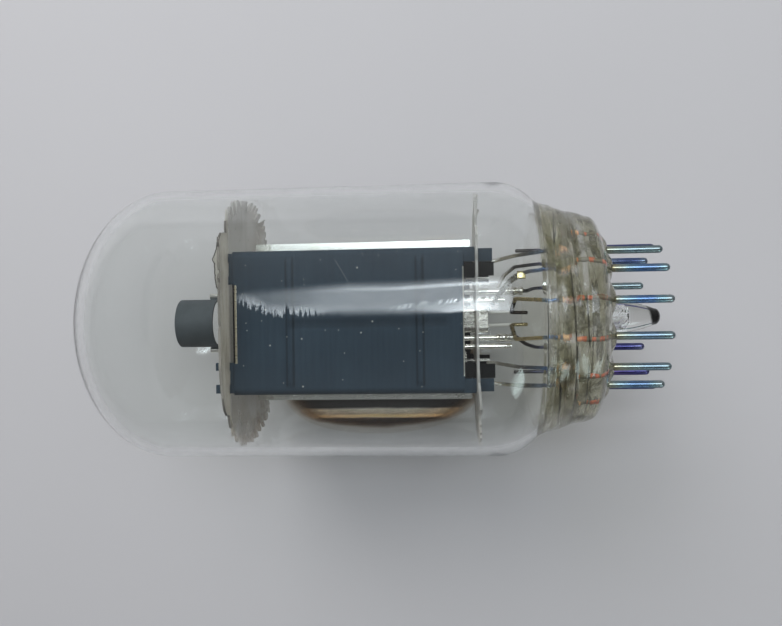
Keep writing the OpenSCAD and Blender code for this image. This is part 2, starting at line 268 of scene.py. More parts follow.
def seal_copper():
    """Copper skin seen through glass: red where 'red' is set along the wire, dull elsewhere."""
    m = Mat("seal_copper")
    red = m.n("Attribute", {"attribute_name": "red"}).outputs["Fac"]
    fine = m.noise(1500.0, 3.0, 0.6)
    t = m.math("ADD", red, m.math("MULTIPLY", m.math("SUBTRACT", fine, 0.5), 0.5))
    deep = m.ramp(t, [(0.30, (0.16, 0.15, 0.11)), (0.45, (0.30, 0.05, 0.025)), (0.62, (0.50, 0.07, 0.035)), (0.95, (0.62, 0.15, 0.07))])
    pale = m.ramp(t, [(0.30, (0.16, 0.15, 0.11)), (0.45, (0.62, 0.22, 0.08)), (0.60, (1.0, 0.40, 0.14)), (0.95, (1.0, 0.60, 0.30))])
    colour = m.mix(m.span(m.axes()[0], -0.0052, -0.0047), pale, deep)
    return m.done(m.principled(Base_Color=colour, Metallic=0.1, Roughness=0.40, Normal=m.bump(fine, 0.2, 0.03)))


def wire_metal(name, stops, rough=(0.2, 0.4), metallic=1.0, hook=False):
    """Wire whose oxide colour changes along the tube; stops are (x in mm, colour)."""
    m = Mat(name)
    x, y, z = m.axes()
    grain = m.noise(1300.0, 4.0, 0.6)
    along = m.math("ADD", x, m.math("MULTIPLY", m.math("SUBTRACT", grain, 0.5), 0.0012))
    lo, hi = stops[0][0], stops[-1][0]
    t = m.span(along, lo * MM, hi * MM, 0.0, 1.0, False)
    colour = m.ramp(t, [((s - lo) / (hi - lo), c) for s, c in stops])
    if hook:
        # burnt where the wire dips down to the heater ends
        burnt = m.math("MULTIPLY", m.span(z, 0.0058, 0.0050), m.span(y, -0.0004, 0.0004, 0.45, 1.0))
        colour = m.mix(burnt, colour, (0.045, 0.036, 0.028))
    return m.done(m.principled(Base_Color=colour, Metallic=metallic, Roughness=m.ramp(grain, [(0.3, rough[0]), (0.7, rough[1])]),
                               Specular_Tint=(0.40, 0.40, 0.40, 1), Normal=m.bump(grain, 0.15, 0.02)))


def nickel(name, base=(0.70, 0.68, 0.63), rough=(0.18, 0.34), stain=(0.52, 0.47, 0.38), tooth=0.1, dull_below=None):
    m = Mat(name)
    patch = m.noise(320.0, 4.0, 0.6)
    line = m.noise(1.0, 3.0, 0.6, m.scaled(500, 3800, 3800))
    colour = m.mix(m.span(patch, 0.52, 0.78), base, stain)
    if dull_below is not None:
        colour = m.mix(m.span(m.axes()[0], (dull_below + 0.08) * MM, (dull_below - 0.08) * MM), colour, (0.56, 0.56, 0.51))
    return m.done(m.principled(Base_Color=colour, Metallic=1.0, Roughness=m.ramp(line, [(0.3, rough[0]), (0.7, rough[1])]),
                               Normal=m.bump(line, tooth, 0.015)))


def anode_grey():
    """Matte carbonised sheet: fine grain, faint streaks across the face, dust, painted shade in the hollow along the
    middle and in the creases by the ribs, and a scratch.
    """
    m = Mat("anode_grey")
    x, y, z = m.axes()
    grain = m.noise(5200.0, 3.0, 0.6)
    cloud = m.noise(140.0, 4.0, 0.55)
    streak = m.noise(1.0, 3.0, 0.55, m.scaled(2600, 110, 110))
    tone = m.math("ADD", m.math("MULTIPLY", cloud, 0.6), m.math("MULTIPLY", streak, 0.4))
    colour = m.ramp(tone, [(0.30, (0.017, 0.030, 0.045)), (0.52, (0.023, 0.040, 0.058)), (0.75, (0.032, 0.052, 0.073))])
    flat = m.n("SeparateXYZ", None, Vector=m.n("NewGeometry").outputs["Normal"]).outputs[2]
    flat = m.math("GREATER_THAN", m.math("ABSOLUTE", flat), 0.8)
    # painted shade: the sheet is darkened in the hollow along its middle and beside the ribs, where shade falls
    hollow = m.math("MULTIPLY", m.span(m.math("ABSOLUTE", m.math("ADD", y, 0.00012)), 0.00085, 0.00035),
                    m.math("MULTIPLY", m.span(x, -0.0418, -0.0410), m.span(x, -0.0204, -0.0216)))
    rib_shade = None
    for q in (-41.64, -40.76, -24.94, -24.06):
        c = m.span(m.math("ABSOLUTE", m.math("SUBTRACT", x, q * MM)), 0.00022, 0.00005)
        rib_shade = c if rib_shade is None else m.math("MAXIMUM", rib_shade, c)
    rib_shade = m.math("MULTIPLY", rib_shade, m.span(m.math("ABSOLUTE", y), 0.0084, 0.0079))
    shade = m.math("MULTIPLY", m.math("ADD", m.math("MULTIPLY", hollow, 0.30), m.math("MULTIPLY", rib_shade, 0.50), None, True), flat)
    colour = m.mix(shade, colour, (0.004, 0.007, 0.010))

    def specks(scale, size, share):
        v = m.n("TexVoronoi", {"voronoi_dimensions": "2D"}, Vector=m.where(), Scale=scale)
        pick = m.n("SeparateColor", None, Color=v.outputs["Color"]).outputs[0]
        return m.math("MULTIPLY", m.math("LESS_THAN", v.outputs["Distance"], size), m.math("LESS_THAN", pick, share))

    dust = m.math("MULTIPLY", m.math("MAXIMUM", specks(400.0, 0.026, 0.42), specks(150.0, 0.016, 0.5)), flat)
    colour = m.mix(m.math("MULTIPLY", dust, 0.62), colour, (0.50, 0.50, 0.45))
    # one hair-fine scratch on the face
    off = m.math("MULTIPLY_ADD", x, 0.8581, m.math("MULTIPLY_ADD", y, 0.5134, 0.026207))
    run = m.math("MULTIPLY_ADD", x, 0.5134, m.math("MULTIPLY_ADD", y, -0.8581, 0.024792))
    mark = m.math("MULTIPLY", m.span(m.math("ABSOLUTE", off), 0.00004, 0.00001), m.math("MULTIPLY", m.span(run, -0.0001, 0.0001), m.span(run, 0.0043, 0.0025)))
    colour = m.mix(m.math("MULTIPLY", m.math("MULTIPLY", mark, flat), 0.34), colour, (0.42, 0.40, 0.36))
    rough = m.ramp(m.math("ADD", m.math("MULTIPLY", grain, 0.5), m.math("MULTIPLY", cloud, 0.5)), [(0.3, 0.55), (0.7, 0.70)])
    return m.done(m.principled(Base_Color=colour, Metallic=0.0, Roughness=rough, Specular_IOR_Level=0.16,
                               Normal=m.bump(grain, 0.35, 0.02)))


def blackened(name, low, high, gloss=0.45):
    m = Mat(name)
    grain = m.noise(4200.0, 4.0, 0.65)
    cloud = m.noise(260.0, 3.0, 0.5)
    colour = m.ramp(cloud, [(0.3, low), (0.7, high)])
    return m.done(m.principled(Base_Color=colour, Metallic=0.0, Roughness=m.ramp(grain, [(0.3, 0.55), (0.7, 0.75)]),
                               Specular_IOR_Level=gloss, Normal=m.bump(grain, 0.4, 0.03)))


def oxide_white():
    m = Mat("oxide_white")
    grain = m.noise(5200.0, 3.0, 0.6)
    colour = m.ramp(grain, [(0.3, (0.66, 0.65, 0.61)), (0.7, (0.84, 0.83, 0.80))])
    return m.done(m.principled(Base_Color=colour, Roughness=0.9, Normal=m.bump(grain, 0.5, 0.03)))


def mica(name, stops, open_share, brown, glow=0.0, crest=-0.10):
    """Split mica sheet: part clear, part smoky, with cleavage streaks and a brown deposit away from the light side."""
    m = Mat(name)
    x, y, z = m.axes()
    flake = m.noise(1.0, 5.0, 0.6, m.scaled(200, 110, 900), 0.6)
    fine = m.noise(1400.0, 4.0, 0.6)
    tone = m.math("ADD", m.math("MULTIPLY", flake, 0.75), m.math("MULTIPLY", fine, 0.25))
    colour = m.ramp(tone, stops)
    blot = m.noise(170.0, 3.0, 0.55)
    side = m.math("ADD", m.span(y, -0.006, -0.017), m.math("MULTIPLY", m.span(z, 0.002, -0.010), 0.8))
    side = m.math("MULTIPLY", side, m.span(blot, 0.38, 0.62), None, True)
    colour = m.mix(m.math("MULTIPLY", side, brown), colour, (0.30, 0.19, 0.095))
    body = m.principled(Base_Color=colour, Roughness=m.ramp(fine, [(0.3, 0.25), (0.7, 0.5)]), Specular_IOR_Level=0.5,
                        Normal=m.bump(tone, 0.3, 0.05))
    see = m.n("BsdfTransparent", None, Color=m.ramp(tone, [(0.3, (0.70, 0.68, 0.64)), (0.7, (0.93, 0.92, 0.90))])).outputs[0]
    dense = m.math("ADD", m.ramp(tone, [(0.3, 1 - open_share + 0.12), (0.7, 1 - open_share - 0.10)]), m.span(z, 0.0092, 0.0102, 0.0, crest), None, True)
    if glow:
        # the free edge is split into layers that pass light from behind
        pale = m.n("BsdfTranslucent", None, Color=m.ramp(tone, [(0.34, (0.62, 0.58, 0.49)), (0.5, (0.90, 0.87, 0.79)), (0.66, (0.98, 0.97, 0.93))])).outputs[0]
        lit = m.n("MixShader", None, Fac=m.span(z, 0.0092, 0.0102, 0.0, glow))
        m.put(lit.inputs[1], body)
        m.put(lit.inputs[2], pale)
        body = lit.outputs[0]
    blend = m.n("MixShader", None, Fac=dense)
    m.put(blend.inputs[1], see)
    m.put(blend.inputs[2], body)
    return m.done(blend.outputs[0])


def getter_mirror():
    """Flashed getter: dark mirror in the middle, brown then clear at the rim.
    'rho' is 0 in the middle and 1 at the rim; 'lean' is the angle round the bulb below -Y, in parts of 90 degrees."""
    m = Mat("getter_mirror")
    rho = m.n("Attribute", {"attribute_name": "rho"}).outputs["Fac"]
    lean = m.n("Attribute", {"attribute_name": "lean"}).outputs["Fac"]
    x, y, z = m.axes()
    r = m.math("ADD", rho, m.math("MULTIPLY", m.math("SUBTRACT", m.noise(210.0, 3.0, 0.55), 0.5), 0.10))
    r = m.math("ADD", r, m.span(lean, 0.37, 0.22, 0.0, 0.10))
    # the band sags a little in the middle of the film
    sag = m.math("MULTIPLY", m.math("SUBTRACT", m.noise(90.0, 2.0), 0.5), 0.035)
    t = m.math("ADD", lean, sag)
    # the bright gold stops from 0.348 to 0.366 are a painted reflection of a lamp in the film
    band_with_glint = m.ramp(t, [(0.27, (0.13, 0.105, 0.09)), (0.335, (0.10, 0.075, 0.062)), (0.348, (1.0, 0.83, 0.56)), (0.366, (0.95, 0.80, 0.55)), (0.376, (0.62, 0.54, 0.42)),
                      (0.414, (0.60, 0.57, 0.49)), (0.430, (0.018, 0.018, 0.018)), (0.60, (0.022, 0.022, 0.022))])
    brown = m.ramp(r, [(0.60, (1.0, 1.0, 1.0)), (0.84, (0.55, 0.40, 0.27)), (0.95, (0.75, 0.52, 0.32))])
    metal = m.principled(Base_Color=m.n("Mix", {"data_type": "RGBA", "blend_type": "MULTIPLY"}, i0=1.0, i6=band_with_glint, i7=brown).outputs[2],
                         Metallic=1.0, Specular_Tint=(0.35, 0.33, 0.30, 1), Roughness=m.ramp(m.noise(700.0, 3.0), [(0.3, 0.06), (0.7, 0.13)]))
    # a thin strip of the film lets the floor through, straw-coloured; its bright gold part also stands for a lamp's
    # reflection, painted in
    thin = m.math("MULTIPLY", m.ramp(t, [(0.336, 0.0), (0.350, 0.80), (0.368, 0.80), (0.378, 0.66), (0.412, 0.60), (0.430, 0.0)]), m.ramp(r, [(0.70, 1.0), (0.86, 0.0)]))
    rim = m.ramp(r, [(0.74, (0.16, 0.085, 0.035)), (0.86, (0.50, 0.36, 0.22)), (0.99, (0.97, 0.955, 0.93))])
    straw = m.ramp(t, [(0.350, (1.0, 0.90, 0.66)), (0.366, (0.99, 0.88, 0.64)), (0.378, (0.74, 0.67, 0.54)), (0.412, (0.69, 0.645, 0.53))])
    stain = m.n("BsdfTransparent", None, Color=m.mix(m.math("GREATER_THAN", thin, 0.02), rim, straw)).outputs[0]
    blend = m.n("MixShader", None, Fac=m.math("MAXIMUM", thin, m.ramp(r, [(0.0, 0.0), (0.71, 0.02), (0.84, 0.60), (0.96, 1.0)])))
    m.put(blend.inputs[1], metal)
    m.put(blend.inputs[2], stain)
    return m.done(blend.outputs[0])


def getter_residue():
    m = Mat("getter_residue")
    grain = m.noise(2600.0, 5.0, 0.65)
    colour = m.ramp(grain, [(0.3, (0.035, 0.030, 0.026)), (0.6, (0.11, 0.10, 0.09)), (0.8, (0.24, 0.22, 0.20))])
    return m.done(m.principled(Base_Color=colour, Metallic=0.3, Roughness=0.8, Normal=m.bump(grain, 0.8, 0.08)))


BULB, BASE, TIP = bulb_glass(), base_glass(), tip_glass()
PIN, COPPER = pin_metal(), seal_copper()
ANODE, WHITE = anode_grey(), oxide_white()
BLACK = blackened("blackened_metal", (0.020, 0.023, 0.026), (0.040, 0.045, 0.049))
# near-black for the carbonised anode tabs, and painted shade where the lower ear prongs and the curled strip at the
# face's left end lie in shade
SOOT_AND_SHADE = blackened("soot_and_shade_black", (0.005, 0.006, 0.007), (0.011, 0.012, 0.013), 0.05)
FIN = blackened("radiator_black", (0.042, 0.052, 0.058), (0.070, 0.083, 0.091))
NICKEL = nickel("nickel")
FLANGE = nickel("flange_nickel", (0.73, 0.74, 0.70), (0.22, 0.28), (0.66, 0.66, 0.58), 0.02, -45.75)
CUT = nickel("cut_edge", (0.62, 0.57, 0.44), (0.22, 0.4), (0.46, 0.38, 0.22))
EDGE = nickel("bright_edge", (0.92, 0.92, 0.88), (0.35, 0.5), (0.80, 0.78, 0.70), 0.05)
WELD = nickel("weld_spot", (0.50, 0.43, 0.24), (0.12, 0.18), (0.44, 0.35, 0.16), 0.03)
POST = nickel("grid_wire", (0.86, 0.85, 0.80), (0.10, 0.22), (0.66, 0.62, 0.52), 0.05)
BROWN_MICA = mica("brown_mica", [(0.32, (0.27, 0.265, 0.245)), (0.48, (0.52, 0.515, 0.485)), (0.70, (0.80, 0.795, 0.77))], 0.62, 0.85, 0.62, 0.46)
CLEAR_MICA = mica("clear_mica", [(0.32, (0.42, 0.42, 0.405)), (0.48, (0.68, 0.68, 0.66)), (0.70, (0.88, 0.88, 0.86))], 0.5, 0.3)
RIM = blackened("mica_rim", (0.030, 0.025, 0.020), (0.075, 0.062, 0.048))
# painted shade for the upper mica's cut edge, the darker one at its corners, the lighter one between
MICA_EDGE_SHADE = blackened("mica_edge_shade", (0.070, 0.063, 0.054), (0.17, 0.155, 0.135))
MICA_EDGE_HALF_SHADE = blackened("mica_edge_half_shade", (0.14, 0.13, 0.112), (0.30, 0.28, 0.25))
FILM, RESIDUE = getter_mirror(), getter_residue()
GOLD_LEAD = wire_metal("gold_lead", [(-12.6, (0.66, 0.55, 0.33)), (-10.5, (0.70, 0.57, 0.30)), (-9.6, (0.62, 0.48, 0.22)),
                                     (-9.0, (0.36, 0.46, 0.52)), (-8.4, (0.12, 0.28, 0.62)), (-7.0, (0.12, 0.12, 0.24))], hook=True)
DARK_LEAD = wire_metal("dark_lead", [(-14.0, (0.74, 0.72, 0.68)), (-12.4, (0.60, 0.58, 0.55)), (-11.4, (0.12, 0.11, 0.11)), (-10.0, (0.055, 0.05, 0.05)),
                                     (-8.4, (0.06, 0.07, 0.14)), (-7.0, (0.10, 0.10, 0.16))], (0.3, 0.5))
LEAD = wire_metal("lead_wire", [(-16.0, (0.82, 0.80, 0.75)), (-12.6, (0.70, 0.68, 0.63)), (-11.0, (0.26, 0.26, 0.28)),
                                (-9.2, (0.14, 0.28, 0.52)), (-8.0, (0.10, 0.12, 0.22)), (-7.0, (0.16, 0.12, 0.10))], (0.1, 0.24))

# ---------------------------------------------------------------- mesh helpers


def make(name, verts, faces, mats, fmat=None, smooth=True, angle=None, replaces=(), slot=None, attrs=None, outward=True):
    me = bpy.data.meshes.new(name)
    me.from_pydata([(v[0] * MM, v[1] * MM, v[2] * MM) for v in verts], [], [tuple(int(i) for i in f) for f in faces])
    for mat in mats if isinstance(mats, (list, tuple)) else [mats]:
        me.materials.append(mat)
    if fmat is not None:
        me.polygons.foreach_set("material_index", [int(i) for i in fmat])
    for key, values in (attrs or {}).items():
        a = me.attributes.new(key, "FLOAT", "POINT")
        a.data.foreach_set("value", [float(v) for v in values])
    if outward:
        bm = bmesh.new()
        bm.from_mesh(me)
        bmesh.ops.recalc_face_normals(bm, faces=bm.faces[:])
        bm.to_mesh(me)
        bm.free()
    me.polygons.foreach_set("use_smooth", [smooth] * len(me.polygons))
    if smooth and angle:
        me.set_sharp_from_angle(angle=math.radians(angle))
    me.update()
    ob = bpy.data.objects.new(name, me)
    SCENE.collection.objects.link(ob)
    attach(ob, "root")
    if replaces:
        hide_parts(*replaces)
    return ob


class Build:
    """Collects several shells, each with its material index, into one mesh."""

    def __init__(self):
        self.v, self.f, self.m, self.attrs = [], [], [], {}

    def add(self, verts, faces, mat=0, **attrs):
        o = len(self.v)
        for k in attrs:
            self.attrs.setdefault(k, [0.0] * o)
        for k, vals in self.attrs.items():
            x = attrs.get(k, 0.0)
            vals.extend([x] * len(verts) if isinstance(x, (int, float)) else list(x))
        self.v.extend([tuple(p) for p in verts])
        self.f.extend([[i + o for i in f] for f in faces])
        self.m.extend(mat if isinstance(mat, (list, tuple)) else [mat] * len(faces))

    def make(self, name, mats, **kw):
        return make(name, self.v, self.f, mats, self.m, attrs=self.attrs, **kw)


def lathe(profile, n, move=None):
    """Turns [(r, x)] about X. A radius of 0 becomes one pole point. move(p, r, x, a) may shift a point."""
    verts, rows = [], []
    for r, x in profile:
        if r < 1e-9:
            rows.append([len(verts)] * n)
            verts.append((x, 0.0, 0.0))
            continue
        rows.append(list(range(len(verts), len(verts) + n)))
        for j in range(n):
            a = 2 * PI * j / n
            verts.append(move(r, x, a) if move else (x, r * math.sin(a), r * math.cos(a)))
    faces = []
    for i in range(len(rows) - 1):
        for j in range(n):
            k = (j + 1) % n
            f = []
            for q in (rows[i][j], rows[i + 1][j], rows[i + 1][k], rows[i][k]):
                if q not in f:
                    f.append(q)
            if len(f) > 2:
                faces.append(f)
    return verts, faces


def spline(points, per=8, closed=False):
    """Catmull-Rom curve through the points (centripetal)."""
    p = [np.array(q, float) for q in points]
    out = []
    ext = [2 * p[0] - p[1]] + p + [2 * p[-1] - p[-2]]
    for i in range(1, len(ext) - 2):
        p0, p1, p2, p3 = ext[i - 1:i + 3]
        t0 = 0.0
        t1 = t0 + max(np.linalg.norm(p1 - p0), 1e-6) ** 0.5
        t2 = t1 + max(np.linalg.norm(p2 - p1), 1e-6) ** 0.5
        t3 = t2 + max(np.linalg.norm(p3 - p2), 1e-6) ** 0.5
        for k in range(per):
            t = t1 + (t2 - t1) * k / per
            a1 = (t1 - t) / (t1 - t0) * p0 + (t - t0) / (t1 - t0) * p1
            a2 = (t2 - t) / (t2 - t1) * p1 + (t - t1) / (t2 - t1) * p2
            a3 = (t3 - t) / (t3 - t2) * p2 + (t - t2) / (t3 - t2) * p3
            b1 = (t2 - t) / (t2 - t0) * a1 + (t - t0) / (t2 - t0) * a2
            b2 = (t3 - t) / (t3 - t1) * a2 + (t - t1) / (t3 - t1) * a3
            out.append((t2 - t) / (t2 - t1) * b1 + (t - t1) / (t2 - t1) * b2)
    out.append(p[-1])
    return out


def sweep(path, section, cap=True, scale=None):
    """Sweeps a closed section [(u, v)] along a 3-D path with frames that don't twist. Round ends: pass scale."""
    p = [np.array(q, float) for q in path]
    m, n = len(p), len(section)
    tangents = []
    for i in range(m):
        d = p[min(i + 1, m - 1)] - p[max(i - 1, 0)]
        tangents.append(d / np.linalg.norm(d))
    ref = np.array([0.31, 0.17, 0.93])
    u = np.cross(ref, tangents[0])
    u /= np.linalg.norm(u)
    verts = []
    for i in range(m):
        t = tangents[i]
        u = u - (u @ t) * t
        u /= np.linalg.norm(u)
        v = np.cross(t, u)
        s = scale[i] if scale else 1.0
        verts += [tuple(p[i] + s * (a * u + b * v)) for a, b in section]
    faces = []
    for i in range(m - 1):
        for j in range(n):
            k = (j + 1) % n
            faces.append([i * n + j, i * n + k, (i + 1) * n + k, (i + 1) * n + j])
    if cap:
        faces.append([j for j in range(n)][::-1])
        faces.append([(m - 1) * n + j for j in range(n)])
    return verts, faces


def ring(r, n=12):
    return [(r * math.cos(2 * PI * j / n), r * math.sin(2 * PI * j / n)) for j in range(n)]


def bent(points, radius, steps=6):
    """Straight runs joined by tight round bends."""
    p = [np.array(q, float) for q in points]
    out = [p[0]]
    for i in range(1, len(p) - 1):
        a, c = p[i - 1] - p[i], p[i + 1] - p[i]
        la, lc = np.linalg.norm(a), np.linalg.norm(c)
        a, c = a / la, c / lc
        cosv = float(np.clip(a @ c, -1, 1))
        if cosv < -0.9995:
            out.append(p[i])
            continue
        half = math.acos(cosv) / 2
        cut = min(radius / math.tan(half), 0.45 * la, 0.45 * lc)
        rr = cut * math.tan(half)
        mid = (a + c) / np.linalg.norm(a + c)
        centre = p[i] + mid * rr / math.sin(half)
        u, v = p[i] + a * cut - centre, p[i] + c * cut - centre
        ang = math.acos(float(np.clip(u @ v / (np.linalg.norm(u) * np.linalg.norm(v)), -1, 1)))
        for k in range(steps + 1):
            t = k / steps
            out.append(centre + (math.sin((1 - t) * ang) * u + math.sin(t * ang) * v) / math.sin(ang))
    out.append(p[-1])
    # spread points along the long straight runs
    full = [out[0]]
    for q in out[1:]:
        d = np.linalg.norm(q - full[-1])
        for k in range(1, int(d / 0.5) + 1):
            if d - k * 0.5 > 0.2:
                full.append(full[-1] + (q - full[-1]) * (0.5 / np.linalg.norm(q - full[-1])))
        full.append(q)
    return full


def wire(path, r, n=12, bend=0.5):
    """A round wire with tight bends, its two ends rounded off."""
    q = bent(path, bend)
    a, b = q[0], q[-1]
    ta, tb = (q[0] - q[1]), (q[-1] - q[-2])
    ta, tb = ta / np.linalg.norm(ta), tb / np.linalg.norm(tb)
    # the rounded ends stay within the wire's own length
    head = [a, a - ta * r * 0.12, a - ta * r * 0.4]
    tail = [b - tb * r * 0.4, b - tb * r * 0.12, b]
    mid = [x for x in q[1:-1] if np.linalg.norm(x - a) > r and np.linalg.norm(x - b) > r]
    sc = [0.45, 0.8, 1.0] + [1.0] * len(mid) + [1.0, 0.8, 0.45]
    return sweep(head + mid + tail, ring(r, n), True, sc)


def slab(x0, x1, y0, y1, z0, z1, b=0.06):
    """A box with its edges eased by b."""
    bm = bmesh.new()
    bmesh.ops.create_cube(bm, size=1.0)
    for v in bm.verts:
        v.co = Vector(((x0 + x1) / 2 + v.co.x * (x1 - x0), (y0 + y1) / 2 + v.co.y * (y1 - y0), (z0 + z1) / 2 + v.co.z * (z1 - z0)))
    bmesh.ops.bevel(bm, geom=bm.edges[:], offset=b, segments=2, affect="EDGES", profile=0.5)
    bm.verts.index_update()
    verts = [tuple(v.co) for v in bm.verts]
    faces = [[v.index for v in f.verts] for f in bm.faces]
    bm.free()
    return verts, faces


def ease(t):
    t = min(max(t, 0.0), 1.0)
    return t * t * (3 - 2 * t)


PIN_R, PLACES = 9.525, 13


def pin_at(i):
    a = math.radians((i - 5.5) * 360 / PLACES)
    return PIN_R * math.sin(a), PIN_R * math.cos(a)


def pin3(i, x):
    return (x, *pin_at(i))


def pin_gap(y, z):
    return min(math.hypot(y - pin_at(i)[0], z - pin_at(i)[1]) for i in range(12))


# ---------------------------------------------------------------- glass envelope

R, RI = 18.69, 17.55


def rounded(points, step, sigma):
    """Resamples a line evenly and rounds its corners off."""
    p = np.array(points, float)
    d = np.concatenate([[0], np.cumsum(np.linalg.norm(np.diff(p, axis=0), axis=1))])
    n = int(d[-1] / step)
    t = np.linspace(0, d[-1], n + 1)
    q = np.stack([np.interp(t, d, p[:, k]) for k in (0, 1)], axis=1)
    k = int(3 * sigma / (t[1])) + 1
    ext = np.concatenate([2 * q[0] - q[k:0:-1], q, 2 * q[-1] - q[-2:-k - 2:-1]])
    w = np.exp(-0.5 * (np.arange(-k, k + 1) * t[1] / sigma) ** 2)
    w /= w.sum()
    return [tuple((ext[i:i + 2 * k + 1] * w[:, None]).sum(axis=0)) for i in range(len(q))]


def glass_envelope():
    """Bulb, stem and pump tip as one fused skin: an outer face and an inner face."""
    arc = [(R - 7 + 7 * math.cos(math.radians(a)), -14.9 + 7 * math.sin(math.radians(a))) for a in np.linspace(0, 52, 15)]
    skirt = spline([arc[-1], (15.5, -7.9), (15.05, -6.5), (14.6, -5.2), (14.28, -3.9), (14.05, -2.75), (13.78, -2.05),
                    (13.1, -1.5), (11.9, -1.0), (10.7, -0.65), (9.5, -0.5)], 14)
    face = [(r, -0.5) for r in np.linspace(9.5, 3.0, 24)]
    tip = spline([(3.0, -0.5), (2.72, -0.38), (2.5, 0.0), (2.36, 0.5), (2.27, 1.4), (2.2, 2.4), (1.98, 3.9), (1.66, 5.2),
                  (1.33, 6.25), (1.12, 6.8)], 6)
    end = [(1.12 * math.cos(a), 6.8 + 0.8 * math.sin(a)) for a in np.linspace(0, PI / 2, 9)]
    neck = rounded([(R, -16.9), (R, -15.4)] + arc + [tuple(p) for p in skirt[1:30]], 0.12, 0.42)
    outer = [(R * math.sin(a), -59.3 - 12.9 * math.cos(a)) for a in np.linspace(0, PI / 2, 44)]
    outer += [(R, x) for x in np.linspace(-59.3, -16.9, 30)[1:-1]]
    outer += neck + [tuple(p) for p in skirt[30:]] + face[1:] + [tuple(p) for p in tip[1:]] + end[1:]
    outer[0], outer[-1] = (0.0, -72.2), (0.0, 7.6)

    def out_move(r, x, a):
        y, z = r * math.sin(a), r * math.cos(a)
        if x > -9.2 and r > 9:
            # uneven melted skin and the fine rings left by sealing
            w = ease((x + 9.2) / 1.2) * ease((-0.9 - x) / 1.0)
            dr = 0.06 * w * (math.sin(3 * a + 1.3) + 0.8 * math.sin(7 * a + 2.1 * x + 0.4) + 0.6 * math.sin(12 * a - 1.7 * x + 2.0))
            for k, q, ph in ((4.7, 3, 0.3), (3.1, 2, 1.7)):
                dr += 0.014 * w * math.sin(k * x + 1.6 * math.sin(q * a + ph) + ph)
            for x0, ph, k in ((-7.97, 0.6, 1), (-5.58, -0.5, 2), (-3.76, 1.2, 1), (-6.7, 3.0, 2), (-8.95, 0.2, 1)):
                depth = 0.05 * ease(0.6 + 0.6 * math.cos(k * a + ph))
                dr -= depth * math.exp(-((x - x0 - 0.12 * math.sin(2 * a + ph)) / 0.13) ** 2)
            y, z = y * (r + dr) / r, z * (r + dr) / r
        if x > -1.9 and 5.5 < r < 13.4:
            d = pin_gap(y, z)
            x = x + (0.0 - x) * ease((2.5 - d) / 1.75) * (1.0 if x < 0 else 0.0)
        return x, y, z

    # round the neck the inner face is the outer one moved straight in, a little thicker towards the base
    ineck = [(q[0] - 1.15 - 0.20 * min(max((q[1] + 15.6) / 6.4, 0.0), 1.0), q[1] - 0.15) for q in neck if q[1] < -8.6]
    ineck = rounded(ineck, 0.12, 0.3)
    iskirt = spline([ineck[-1], (14.07, -7.8), (13.77, -7.0), (13.26, -6.2), (12.5, -5.52), (11.35, -5.13), (10.0, -5.0)], 10)
    iface = [(r, -5.0) for r in np.linspace(10.0, 2.1, 30)]
    bore = spline([(2.1, -5.0), (1.6, -4.9), (1.25, -4.6), (1.1, -4.1), (1.1, -2.0), (1.1, 1.2), (1.1, 2.0), (1.06, 2.5), (0.93, 2.9), (0.70, 3.18), (0.42, 3.32)], 6)
    inner = [(RI * math.sin(a), -59.3 - 11.75 * math.cos(a)) for a in np.linspace(0, PI / 2, 44)]
    inner += [(RI, x) for x in np.linspace(-59.3, -16.9, 30)[1:-1]]
    inner += ineck + [tuple(p) for p in iskirt[1:]] + iface[1:] + [tuple(p) for p in bore[1:]] + [(0.24, 3.36), (0.0, 3.38)]
    inner[0] = (0.0, -71.05)

    def in_move(r, x, a):
        y, z = r * math.sin(a), r * math.cos(a)
        if x > -6.4 and 6.5 < r < 13:
            x = x - 2.2 * ease((1.75 - pin_gap(y, z)) / 1.3)
        if x > -9.0 and r > 3:
            x += 0.06 * math.sin(5 * a + r) + 0.05 * math.sin(11 * a - 2 * r + 1)
        if x > 1.6 and r > 0.2:
            # the bore's end was melted shut and is lumpy
            k = 1 + 0.07 * ease((x - 1.6) / 0.8) * (math.sin(5 * a + 1) * math.sin(9 * x + 0.5) + 0.7 * math.sin(11 * a - 7 * x))
            y, z = y * min(k, 1.06), z * min(k, 1.06)
            x = min(x + 0.05 * ease((x - 2.2) / 0.6) * math.sin(4 * a + 2) * r, 3.42)
        return x, y, z

    n = 208
    b = Build()
    v, f = lathe(outer, n, out_move)
    mats = []
    for q in f:
        c = np.mean([v[i] for i in q], axis=0)
        rr = math.hypot(c[1], c[2])
        mats.append(2 if (rr < 2.75 and c[0] > -0.4) else 1 if c[0] > -9.15 else 0)
    b.add(v, f, mats)
    v, f = lathe(inner, n, in_move)
    mats = []
    for q in f:
        c = np.mean([v[i] for i in q], axis=0)
        rr = math.hypot(c[1], c[2])
        mats.append(2 if (rr < 1.5 and c[0] > -4.8) else 1 if c[0] > -9.4 else 0)
    b.add(v, [q[::-1] for q in f], mats)
    return b.make("glass_envelope", [BULB, BASE, TIP], outward=False, replaces=("glass_bulb", "button_stem", "exhaust_tip"), slot="bulb_glass")


glass_envelope()

# ---------------------------------------------------------------- pins, seals and leads


